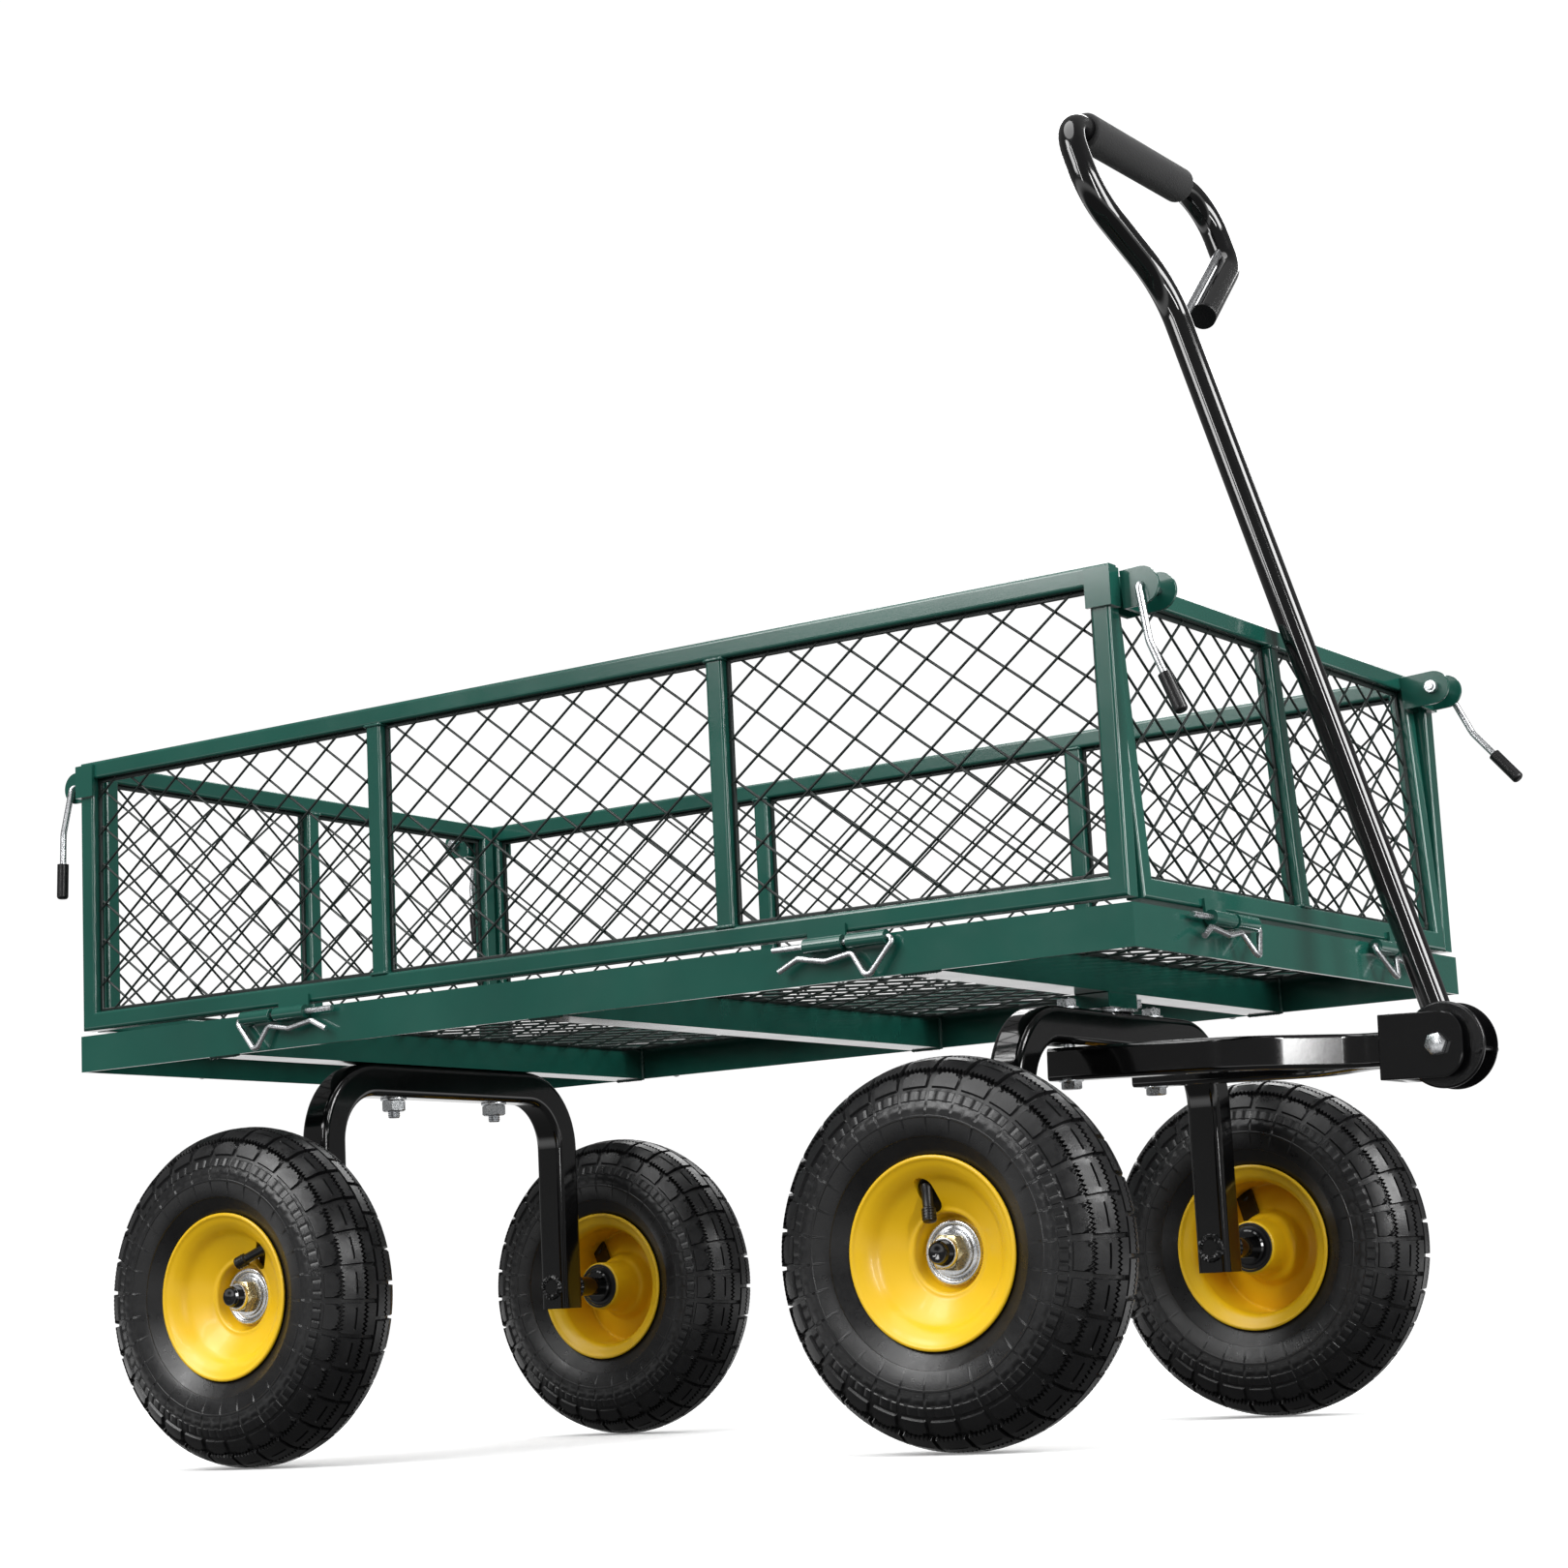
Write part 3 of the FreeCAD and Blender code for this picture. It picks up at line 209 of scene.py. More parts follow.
def foam(name):
    """Closed-cell foam of the grip, with small round cells."""
    mat, tree, shader = shade(name, (0.008, 0.008, 0.0085), 0.75, sheen=0.12)
    spot = where(tree)
    cells = node(tree, "ShaderNodeTexVoronoi", {"Vector": spot})
    cells.inputs["Scale"].default_value = 900.0
    cloud = noise(tree, spot, 60.0, 4.0)
    tree.links.new(ramp(tree, cloud, [(0.3, (0.006, 0.006, 0.0065)), (0.7, (0.013, 0.013, 0.0135))]),
                   shader.inputs["Base Color"])
    tree.links.new(remap(tree, cloud, 0.3, 0.7, 0.68, 0.88), shader.inputs["Roughness"])
    bump(tree, shader, cells.outputs["Distance"], 0.5, 0.0005)
    return mat


def plastic(name, color, roughness):
    """Moulded plastic or vinyl with a fine grain."""
    mat, tree, shader = shade(name, color, roughness)
    spot = where(tree)
    cloud = noise(tree, spot, 50.0, 4.0)
    light = tuple(c * 1.35 for c in color)
    tree.links.new(ramp(tree, cloud, [(0.3, color), (0.7, light)]), shader.inputs["Base Color"])
    fine = noise(tree, spot, 1300.0, 2.0)
    rough = remap(tree, cloud, 0.3, 0.7, roughness * 0.85, roughness * 1.2)
    tree.links.new(rough, shader.inputs["Roughness"])
    bump(tree, shader, fine, 0.12, 0.0003)
    return mat


GREEN = paint("green_gloss", (0.0060, 0.062, 0.046), (0.0085, 0.082, 0.060), 0.20, coat=0.6, speck=0.25)
WIRE = paint("green_wire", (0.0015, 0.0055, 0.0045), (0.003, 0.010, 0.008), 0.42, coat=0.0)
BLACK = paint("black_gloss", (0.0016, 0.0016, 0.0018), (0.0030, 0.0030, 0.0033), 0.11, peel=0.03, coat=0.7,
              speck=0.12)
WELD = paint("black_weld", (0.0020, 0.0020, 0.0022), (0.0040, 0.0040, 0.0042), 0.22, peel=0.30, coat=0.4)
GREEN_WELD = paint("green_weld", (0.0055, 0.056, 0.042), (0.0080, 0.074, 0.055), 0.24, peel=0.30, coat=0.5)
YELLOW = paint("yellow_gloss", (0.76, 0.455, 0.006), (0.83, 0.520, 0.008), 0.34, peel=0.04, coat=0.12,
               speck=0.1)
ZINC = zinc("bright_zinc", (0.82, 0.83, 0.85), (0.70, 0.72, 0.74), 0.27)
GOLD = zinc("yellow_zinc", (0.80, 0.66, 0.34), (0.60, 0.50, 0.30), 0.22)
SEAL = plastic("bearing_seal", (0.006, 0.006, 0.007), 0.4)
RUBBER = rubber("tyre_rubber")
FOAM = foam("grip_foam")
VINYL = plastic("black_vinyl", (0.004, 0.004, 0.0045), 0.30)
HARD = plastic("black_hard_plastic", (0.0030, 0.0030, 0.0034), 0.22)


# ---------------------------------------------------------------- mesh helpers

def piece(name, verts, faces, material, body, smooth=38.0, materials=None, indices=None):
    """Mesh object from points in millimetres, riding on a body."""
    mesh = bpy.data.meshes.new(name)
    mesh.from_pydata([Vector(v) * 0.001 for v in verts], [], faces)
    for extra in materials or [material]:
        mesh.materials.append(extra)
    if indices:
        mesh.polygons.foreach_set("material_index", indices)
    return finish_mesh(name, mesh, body, smooth)


def face_outward(mesh):
    """Turns all faces of a closed mesh outward."""
    work = bmesh.new()
    work.from_mesh(mesh)
    bmesh.ops.recalc_face_normals(work, faces=work.faces)
    work.to_mesh(mesh)
    work.free()


def shade_smooth(mesh, angle):
    """Smooth shading, with sharp edges where faces meet at more than this many degrees."""
    mesh.polygons.foreach_set("use_smooth", [True] * len(mesh.polygons))
    mesh.set_sharp_from_angle(angle=math.radians(angle))


def placed(name, data):
    """New object in the scene for a mesh, light or camera."""
    obj = bpy.data.objects.new(name, data)
    bpy.context.scene.collection.objects.link(obj)
    return obj


def finish_mesh(name, mesh, body, smooth=38.0):
    """Places a mesh that rides on a body."""
    face_outward(mesh)
    shade_smooth(mesh, smooth)
    obj = placed(name, mesh)
    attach(obj, body)
    return obj


class Build:
    """Collects points and faces of one piece."""

    def __init__(self):
        self.verts, self.faces, self.marks = [], [], []

    def add(self, verts, faces, mark=0):
        """Adds points and faces, marked with the index of their material."""
        start = len(self.verts)
        self.verts += [Vector(v) for v in verts]
        self.faces += [tuple(i + start for i in face) for face in faces]
        self.marks += [mark] * len(faces)

    def done(self, name, materials, body, slot, smooth=38.0):
        """Makes the collected shape into a piece."""
        materials = materials if isinstance(materials, list) else [materials]
        return piece(name, self.verts, self.faces, None, body, smooth, materials, self.marks)


def circle(radius, count=12):
    """Round section, as (a, b) pairs."""
    return [(radius * math.cos(2 * math.pi * i / count), radius * math.sin(2 * math.pi * i / count))
            for i in range(count)]


def rounded(wide, high, radius, count=4):
    """Rounded rectangle section, as (a, b) pairs."""
    points = []
    for sx, sy, start in ((1, 1, 0), (-1, 1, 90), (-1, -1, 180), (1, -1, 270)):
        cx, cy = sx * (wide / 2 - radius), sy * (high / 2 - radius)
        for i in range(count + 1):
            angle = math.radians(start + 90.0 * i / count)
            points.append((cx + radius * math.cos(angle), cy + radius * math.sin(angle)))
    return points


def tube(build, path, section, up, closed=False):
    """Sweeps a section along a path, mitred at corners. The section's b axis points along up."""
    path = [Vector(p) for p in path]
    up = Vector(up).normalized()
    count, size = len(path), len(section)
    verts = []
    for i, point in enumerate(path):
        before = path[(i - 1) % count] if closed or i > 0 else None
        after = path[(i + 1) % count] if closed or i < count - 1 else None
        into = (point - before).normalized() if before is not None else (after - point).normalized()
        out = (after - point).normalized() if after is not None else into
        tangent = (into + out).normalized()
        side = up.cross(tangent).normalized()
        lift = tangent.cross(side).normalized()
        stretch = 1.0 / max(0.35, math.cos(into.angle(out) / 2)) if into.angle(out) > 1e-4 else 1.0
        bend = out - into
        along_side = abs(bend.dot(side)) >= abs(bend.dot(lift))
        for a, b in section:
            k_side, k_lift = (stretch, 1.0) if along_side else (1.0, stretch)
            verts.append(point + side * a * k_side + lift * b * k_lift)
    faces = []
    for i in range(count if closed else count - 1):
        j = (i + 1) % count
        for k in range(size):
            n = (k + 1) % size
            faces.append((i * size + k, i * size + n, j * size + n, j * size + k))
    if not closed:
        faces.append(tuple(range(size)))
        faces.append(tuple((count - 1) * size + k for k in range(size)))
    build.add(verts, faces)


def lathe(build, profile, base, axis, segments, mark=0):
    """Revolves a closed outline of (along, radius) pairs about an axis through base."""
    axis = Vector(axis).normalized()
    side = axis.orthogonal().normalized()
    other = axis.cross(side)
    verts = []
    for i in range(segments):
        angle = 2 * math.pi * i / segments
        out = side * math.cos(angle) + other * math.sin(angle)
        for along, radius in profile:
            verts.append(Vector(base) + axis * along + out * radius)
    size = len(profile)
    faces = []
    for i in range(segments):
        j = (i + 1) % segments
        for k in range(size):
            n = (k + 1) % size
            faces.append((i * size + k, i * size + n, j * size + n, j * size + k))
    build.add(verts, faces, mark)


def soften(points, radius, count):
    """Rounds each corner of a closed 2-D outline with count steps."""
    result = []
    total = len(points)
    for i, corner in enumerate(points):
        corner = Vector(corner)
        before, after = Vector(points[i - 1]), Vector(points[(i + 1) % total])
        reach = min(radius, (before - corner).length * 0.45, (after - corner).length * 0.45)
        start = corner + (before - corner).normalized() * reach
        end = corner + (after - corner).normalized() * reach
        for k in range(count + 1):
            t = k / count
            result.append(tuple(start * (1 - t) ** 2 + corner * 2 * t * (1 - t) + end * t ** 2))
    return result


NUT_CHAMFER = 0.12


def hex_nut(build, base, axis, flats, height, bore, mark=0, turn=0.0, head=False):
    """Chamfered hex nut, or solid bolt head, standing from base along axis."""
    axis = Vector(axis).normalized()
    side = axis.orthogonal().normalized()
    side = Matrix.Rotation(turn, 3, axis) @ side
    other = axis.cross(side)
    outer = flats / math.sqrt(3)
    inner = flats / 2 * 0.97
    drop = height * NUT_CHAMFER
    total = 24

    def ring(along, radius_at):
        points = []
        for i in range(total):
            angle = 2 * math.pi * i / total
            radius = radius_at(angle)
            outward = side * math.cos(angle) + other * math.sin(angle)
            points.append(Vector(base) + axis * along + outward * radius)
        return points

    def hexagonal(angle):
        local = (angle % (math.pi / 3)) - math.pi / 6
        return flats / 2 / math.cos(local)

    def edge_drop(angle):
        return (hexagonal(angle) - flats / 2) / (outer - flats / 2)

    core = max(bore, 0.01)
    low = [p + axis * drop * (0.25 + 0.75 * edge_drop(2 * math.pi * i / total))
           for i, p in enumerate(ring(0, hexagonal))]
    high = [p - axis * drop * (0.25 + 0.75 * edge_drop(2 * math.pi * i / total))
            for i, p in enumerate(ring(height, hexagonal))]
    rings = [ring(0, lambda a: core), ring(0, lambda a: inner), low, high, ring(height, lambda a: inner),
             ring(height - (0.0 if head else 0.4), lambda a: core)]
    verts = [p for points in rings for p in points]
    faces = []
    count = len(rings)
    for r in range(count):
        q = (r + 1) % count
        if head and q == 0:
            continue
        for i in range(total):
            j = (i + 1) % total
            faces.append((r * total + i, r * total + j, q * total + j, q * total + i))
    if head:
        faces.append(tuple((count - 1) * total + i for i in range(total)))
        faces.append(tuple(reversed(range(total))))
    build.add(verts, faces, mark)


def thread(build, base, axis, radius, length, pitch=1.5):
    """Threaded end with a chamfered tip, as fine ridges."""
    profile = [(0, 0.0), (0, radius)]
    along = 0.0
    while along + pitch < length - 0.8:
        profile += [(along + pitch * 0.35, radius), (along + pitch * 0.7, radius * 0.86)]
        along += pitch
    profile += [(length - 0.8, radius * 0.95), (length, radius * 0.75), (length, 0.0)]
    lathe(build, profile, base, axis, 20)


RIPPLE = 1.1


def bead(build, path, radius, up, mark=0):
    """Weld bead with stacked ripples round a closed path."""
    path = [Vector(p) for p in path]
    fine = []
    for a, b in zip(path, path[1:] + path[:1]):
        count = max(1, int((b - a).length / RIPPLE))
        fine += [a.lerp(b, i / count) for i in range(count)]
    size = 8
    verts = []
    total = len(fine)
    up = Vector(up).normalized()
    for i, point in enumerate(fine):
        tangent = (fine[(i + 1) % total] - fine[(i - 1) % total]).normalized()
        side = up.cross(tangent).normalized()
        lift = tangent.cross(side)
        swell = radius * (1.0 + (0.16 if i % 2 else -0.10) + rng.uniform(-0.08, 0.08))
        for a, b in circle(swell, size):
            verts.append(point + side * a + lift * b)
    faces = []
    for i in range(total):
        j = (i + 1) % total
        for k in range(size):
            n = (k + 1) % size
            faces.append((i * size + k, i * size + n, j * size + n, j * size + k))
    build.add(verts, faces, mark)


def softened_copy(name, source, width, material, body):
    """Copy of a CAD node with its sharp edges rounded over, standing for that node."""
    work = bmesh.new()
    work.from_mesh(nodes[source].data)
    bmesh.ops.remove_doubles(work, verts=work.verts, dist=2e-6)
    bmesh.ops.dissolve_limit(work, angle_limit=math.radians(1.5), verts=work.verts, edges=work.edges)
    sharp = [e for e in work.edges if len(e.link_faces) == 2 and e.calc_face_angle(0.0) > math.radians(40)]
    bmesh.ops.bevel(work, geom=sharp, offset=width * 0.001, segments=2, profile=0.5,
                    affect="EDGES", clamp_overlap=True)
    mesh = bpy.data.meshes.new(name)
    work.to_mesh(mesh)
    work.free()
    mesh.materials.clear()
    mesh.materials.append(material)
    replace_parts(finish_mesh(name, mesh, body, 20.0), source)


def dress(node_name, material):
    """Gives a carried-over CAD node its finished material."""
    materials = nodes[node_name].data.materials
    materials.clear()
    materials.append(material)


# ---------------------------------------------------------------- tyres

# places across one tread pitch, closer together at the grooves, and number of pitches round a tyre
COLUMNS = [-0.5, -0.475, -0.455, -0.435, -0.41, -0.385, -0.32, -0.26, -0.20, -0.13, -0.065, 0.0,
           0.065, 0.13, 0.20, 0.26, 0.32, 0.385, 0.41, 0.435, 0.455, 0.475]
PITCHES = 30
# half of the carcass without tread, crown to bead, as (distance from the middle plane, radius)
PROFILE = [(0, 123.4), (8, 122.7), (16, 120.5), (22, 117.4), (27, 113.2), (31.3, 107.6), (35.2, 100.8),
           (37.6, 94.0), (38.4, 87.5), (37.7, 81.0), (35.4, 74.8), (32.1, 69.4), (29.2, 65.6),
           (27.4, 62.9), (26.2, 59.5)]
BEAD = [(24.6, 56.5), (23.4, 54.5), (21.6, 52.5)]


def catmull(points, steps):
    """Smooth curve through the points."""
    result = []
    padded = [points[0]] + list(points) + [points[-1]]
    for p0, p1, p2, p3 in zip(padded, padded[1:], padded[2:], padded[3:]):
        p0, p1, p2, p3 = map(Vector, (p0, p1, p2, p3))
        for i in range(steps):
            t = i / steps
            result.append(0.5 * ((2 * p1) + (p2 - p0) * t + (2 * p0 - 5 * p1 + 4 * p2 - p3) * t * t
                                 + (3 * p1 - p0 - 3 * p2 + p3) * t ** 3))
    result.append(Vector(points[-1]))
    return result


CURVE_STEPS = 12
mirrored = [(-PROFILE[1][0], PROFILE[1][1])] + PROFILE
CURVE = catmull(mirrored, CURVE_STEPS)[CURVE_STEPS:]
LENGTHS = [0.0]
for a, b in zip(CURVE, CURVE[1:]):
    LENGTHS.append(LENGTHS[-1] + (b - a).length)


def on_profile(s):
    """Point and outward normal of the carcass at arc length s from the crown."""
    s = min(max(s, 0.0), LENGTHS[-1] - 1e-6)
    low = 0
    high = len(LENGTHS) - 1
    while high - low > 1:
        mid = (low + high) // 2
        if LENGTHS[mid] <= s:
            low = mid
        else:
            high = mid
    t = (s - LENGTHS[low]) / (LENGTHS[high] - LENGTHS[low])
    point = CURVE[low].lerp(CURVE[high], t)
    run = (CURVE[high] - CURVE[low]).normalized()
    return point, Vector((-run.y, run.x))


def tread_rows(u, index):
    """(arc length, height) rows of the tread at a place u of the pitch, from crown to bead."""
    width = abs(u)
    block = width < 0.445
    wave = (1.25 if index % 2 else -1.25) if width < 0.40 else 0.0
    taper = max(0.0, width - 0.17) * 17.0
    tall = 3.4 if block else 0.1
    lug = 2.1 if width < 0.40 else 0.0
    side = 0.6 if 0.19 > width or 0.25 < width < 0.44 else 0.1
    fine = 0.2 if 0.08 < width < 0.44 else 0.0
    rib = 0.35 if 0.462 < width < 0.49 else 0.0
    dash = tall - (1.5 if width < 0.30 else 0.0)
    crown = [(0.0, 0.6), (0.9, 0.5), (1.1, tall), (8.6 + wave, tall), (9.2 + wave, 0.2),
             (10.4 + wave, 0.2), (11.0 + wave, tall), (16.6, tall), (16.9, dash), (17.9, dash),
             (18.2, tall), (26.4 + wave, tall * 0.92)]
    shoulder = [(27.2 + wave, 0.2), (28.4 + wave, 0.1), (29.2 + wave * 0.6 + taper, lug),
                (35.2, lug * 0.95), (39.6, lug * 0.8), (40.3, 0.0)]
    sidewall = [(42.2, 0.0), (42.8, side), (48.6, side), (49.2, 0.0), (51.0, rib), (51.4, fine),
                (55.6, fine), (56.0, rib), (58.4, rib), (58.8, 0.35), (59.8, 0.35), (60.2, rib),
                (66.0, rib * 0.6), (69.0, 0.0), (71.4, 0.4), (72.2, 0.4), (72.6, 0.0), (76.0, 0.0)]
    return crown + shoulder + sidewall


def tyre_mesh(name):
    """Treaded tyre about the y axis. The tread of its second half is half a pitch out of step."""
    total = len(COLUMNS) * PITCHES
    last = LENGTHS[-1]
    verts = []
    half = len(COLUMNS) // 2
    for flip in (1, -1):
        for k in range(total):
            index = k % len(COLUMNS)
            pitch = k // len(COLUMNS)
            column = index if flip > 0 else (index + half) % len(COLUMNS)
            u = COLUMNS[column]
            if flip > 0:
                place = pitch + u
            else:
                place = pitch + (u - 0.5 if index < half else u + 0.5)
            angle = 2 * math.pi * place / PITCHES
            for s, height in tread_rows(u, column):
                point, normal = on_profile(min(s, last))
                point = point + normal * height
                verts.append((point.y * math.sin(angle), flip * point.x, point.y * math.cos(angle)))
            for y, r in BEAD:
                verts.append((r * math.sin(angle), flip * y, r * math.cos(angle)))
    size = len(tread_rows(0.0, 0)) + len(BEAD)
    faces = []
    for side in (0, 1):
        offset = side * total * size
        for k in range(total):
            j = (k + 1) % total
            for row in range(size - 1):
                a, b = offset + k * size + row, offset + j * size + row
                quad = (a, b, b + 1, a + 1)
                faces.append(quad if side == 0 else tuple(reversed(quad)))
    for k in range(total):
        j = (k + 1) % total
        faces.append((k * size, total * size + k * size, total * size + j * size, j * size))
        a, b = k * size + size - 1, j * size + size - 1
        faces.append((a, b, total * size + b, total * size + a))
    mesh = bpy.data.meshes.new(name)
    mesh.from_pydata([Vector(v) * 0.001 for v in verts], [], faces)
    mesh.materials.append(RUBBER)
    face_outward(mesh)
    shade_smooth(mesh, 34)
    return mesh


# ---------------------------------------------------------------- rims, bearings and valves

# turn of each wheel at rest, in degrees, which sets where its valve stands
VALVE_TURN = {"front_right": -14.0, "front_left": -30.0, "rear_right": 40.0, "rear_left": -45.0}


def oblong(build, low, high, radius, near, far):
    """Upright prism with round ends, for cutting the valve slot."""
    count = 10
    outline = []
    for middle_z, first in ((high, 0.0), (low, math.pi)):
        for i in range(count + 1):
            angle = first + math.pi * i / count
            outline.append((radius * math.cos(angle), middle_z + radius * math.sin(angle)))
    size = len(outline)
    verts = [(x, near, z) for x, z in outline] + [(x, far, z) for x, z in outline]
    faces = [tuple(range(size)), tuple(reversed(range(size, 2 * size)))]
    faces += [(i, (i + 1) % size, size + (i + 1) % size, size + i) for i in range(size)]
    build.add(verts, faces)


def plain_object(name, build, material):
    """Helper object for a boolean, removed again afterwards."""
    mesh = bpy.data.meshes.new(name)
    mesh.from_pydata([v * 0.001 for v in build.verts], [], build.faces)
    mesh.materials.append(material)
    face_outward(mesh)
    return placed(name, mesh)


def rim_mesh(name):
    """Pressed steel rim: two lips, a dished disc, a bearing cup and the valve slot."""
    outer_lip = [(31.2, 60.2), (30.6, 62.3), (28.6, 62.1), (26.6, 58.0), (25.2, 53.5), (22.0, 51.8)]
    inner_lip = [(-along, radius) for along, radius in reversed(outer_lip)] + [(-29.4, 58.2), (-26.6, 52.5)]
    back = [(-22.0, 49.6), (16.0, 49.2), (12.4, 42.0), (8.0, 33.0), (5.6, 28.6), (-3.0, 25.4), (-6.0, 22.0),
            (-12.0, 20.6), (-32.0, 20.0), (-33.2, 19.0)]
    cup = [(-33.2, 14.6), (-1.5, 14.6), (-1.5, 23.2), (2.5, 24.4), (8.4, 25.6), (9.4, 26.8), (9.6, 29.4)]
    dish = [(12.2, 34.0), (15.6, 40.4), (19.0, 46.0), (24.5, 50.4), (28.0, 55.0), (29.8, 58.6)]
    outline = outer_lip + inner_lip + back + cup + dish
    build = Build()
    lathe(build, soften(outline, 2.6, 4), (0, 0, 0), (0, 1, 0), 112)
    disc = plain_object(name + "_blank", build, YELLOW)
    tool_build = Build()
    oblong(tool_build, 33.0, 43.4, 6.0, 2.0, 28.0)
    tool = plain_object(name + "_tool", tool_build, YELLOW)
    modifier = disc.modifiers.new("slot", "BOOLEAN")
    modifier.object = tool
    modifier.solver = "EXACT"
    bpy.context.view_layer.update()
    made = disc.evaluated_get(bpy.context.evaluated_depsgraph_get())
    mesh = bpy.data.meshes.new_from_object(made)
    mesh.name = name
    for helper in (disc, tool):
        bpy.data.objects.remove(helper)
    shade_smooth(mesh, 36)
    return mesh


def bearing_build():
    """Two ball bearings: bright rings and a pressed shield outside, a dark seal inside."""
    build = Build()
    rings = [
        ([(-6, 20.9), (2.9, 20.9), (3.4, 20.2), (3.4, 18.4), (2.2, 17.8), (-6, 17.8)], 0.5, 64, 0),
        ([(-5, 17.7), (1.8, 17.7), (2.4, 15.0), (1.9, 12.0), (1.9, 10.6), (-5, 10.6)], 0.6, 64, 0),
        ([(-5, 10.5), (2.6, 10.5), (2.6, 8.3), (-5, 8.3)], 0.5, 48, 0),
        ([(-27, 16.6), (-34.2, 16.6), (-34.2, 18.2), (-33.4, 18.6), (-27, 16.9)], 0.4, 64, 1),
        ([(-27, 16.5), (-33.4, 16.5), (-33.9, 14.0), (-33.4, 11.2), (-27, 11.2)], 0.5, 64, 1),
        ([(-27, 11.1), (-33.9, 11.1), (-33.9, 8.3), (-27, 8.3)], 0.5, 48, 0),
    ]
    for section, softness, segments, mark in rings:
        lathe(build, soften(section, softness, 2), (0, 0, 0), (0, 1, 0), segments, mark)
    return build


def valve_build(sway):
    """Rubber valve stem lying in the slot over its dark boot, with a ribbed cap."""
    build = Build()
    base, tip = Vector((0, 13.0, 45.0)), Vector((sway, 19.0, 21.0))
    axis = (tip - base).normalized()
    length = (tip - base).length
    profile = [(0, 0), (0, 4.8), (3.0, 4.7), (5.0, 4.0), (length - 9.5, 3.7), (length - 9.0, 4.3)]
    for i in range(4):
        along = length - 8.6 + i * 2.0
        profile += [(along, 4.8), (along + 1.0, 4.8), (along + 1.25, 4.45), (along + 1.75, 4.45)]
    profile += [(length - 0.4, 4.3), (length, 3.2), (length, 0)]
    lathe(build, profile, base, axis, 24)
    # boot closing the back of the slot: a slab 2.8 thick that follows the slope of the disc
    half, low, high = 7.2, 26.0, 50.0
    outline = [(-half, low), (half, low), (half, high), (-half, high)]
    slope = 7.4 / 13.4
    verts = [(x, 4.4 + (z - 28.6) * slope - deep, z) for deep in (0.2, 3.0) for x, z in outline]
    build.add(verts, [(0, 1, 2, 3), (7, 6, 5, 4), (0, 4, 5, 1), (1, 5, 6, 2), (2, 6, 7, 3), (3, 7, 4, 0)])
    return build


TYRE_MESH = tyre_mesh("tyre_tread")
RIM_MESH = rim_mesh("rim_pressed")
BEARING = bearing_build()

for wheel in WHEELS:
    hub = middle("tyre_" + wheel)
    outward = -1 if wheel.endswith("right") else 1
    spin = Matrix.Rotation(math.radians(VALVE_TURN[wheel]), 4, "Y")
    if outward < 0:
        spin = spin @ Matrix.Rotation(math.pi, 4, "Z")
    place = Matrix.Translation(hub * 0.001) @ spin
    body = "wheel_" + wheel
    parts = [("tyre_tread_" + wheel, TYRE_MESH, "tyre_rubber", "tyre_" + wheel),
             ("rim_pressed_" + wheel, RIM_MESH, "yellow_paint", "rim_" + wheel)]
    for name, mesh, slot, stands_for in parts:
        turned = mesh.copy()
        turned.transform(spin)
        obj = placed(name, turned)
        obj.matrix_world = Matrix.Translation(hub * 0.001)
        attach(obj, body)
        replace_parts(obj, stands_for)
    stem = valve_build(12.0 if wheel == "rear_right" else 1.6)
    verts = [place @ (v * 0.001) * 1000.0 for v in stem.verts]
    piece("valve_stem_" + wheel, verts, stem.faces, VINYL, body)
    verts = [place @ (v * 0.001) * 1000.0 for v in BEARING.verts]
    bearing = piece("bearing_set_" + wheel, verts, BEARING.faces, None, body, 38.0, [ZINC, SEAL],
                    BEARING.marks)
    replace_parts(bearing, "bearings_" + wheel)


# ---------------------------------------------------------------- axle ends

HALF_TRACK = 231.0
ARCH_TUBE = 26.0
STUB_R = 8.0


def weld_ring(build, centre, radius, thick, count):
    """Ring of weld about an axle along y."""
    angles = [2 * math.pi * i / count for i in range(count)]
    ring = [centre + Vector((radius * math.cos(a), 0, radius * math.sin(a))) for a in angles]
    bead(build, ring, thick, (0, 1, 0), 1)


def wheel_nut(build, centre, out, turn):
    """Washer, yellow nut and its locking collar outside a wheel."""
    washer = [(2.6, 8.2), (2.6, 14.6), (4.4, 14.6), (4.4, 8.2)]
    lathe(build, soften(washer, 0.4, 2), centre, out, 48, 0)
    hex_nut(build, centre + out * 4.5, out, 22.0, 8.6, 8.1, 1, turn=turn)
    collar = [(12.8, 8.1), (12.8, 10.2), (15.6, 9.6), (15.6, 8.1)]
    lathe(build, soften(collar, 0.4, 2), centre, out, 32, 0)


def stub_axle(build, start, length, out):
    """Stub axle with a collar behind the wheel and a threaded, dished tip beyond length."""
    profile = [(0, 0), (0, 7.4), (1.2, STUB_R), (length - 38.0, STUB_R), (length - 38.0, 12.0),
               (length - 37.0, 13.2), (length - 35.6, 13.2), (length - 34.6, 11.6), (length - 34.6, STUB_R),
               (length + 14.0, STUB_R)]
    for k in range(4):
        profile += [(length + 14.5 + 1.5 * k, STUB_R), (length + 15.1 + 1.5 * k, 7.3)]
    profile += [(length + 21.2, 7.7), (length + 22.8, 6.6), (length + 23.0, 5.2), (length + 22.0, 3.0),
                (length + 21.6, 0)]
    lathe(build, profile, start, out, 40, 0)


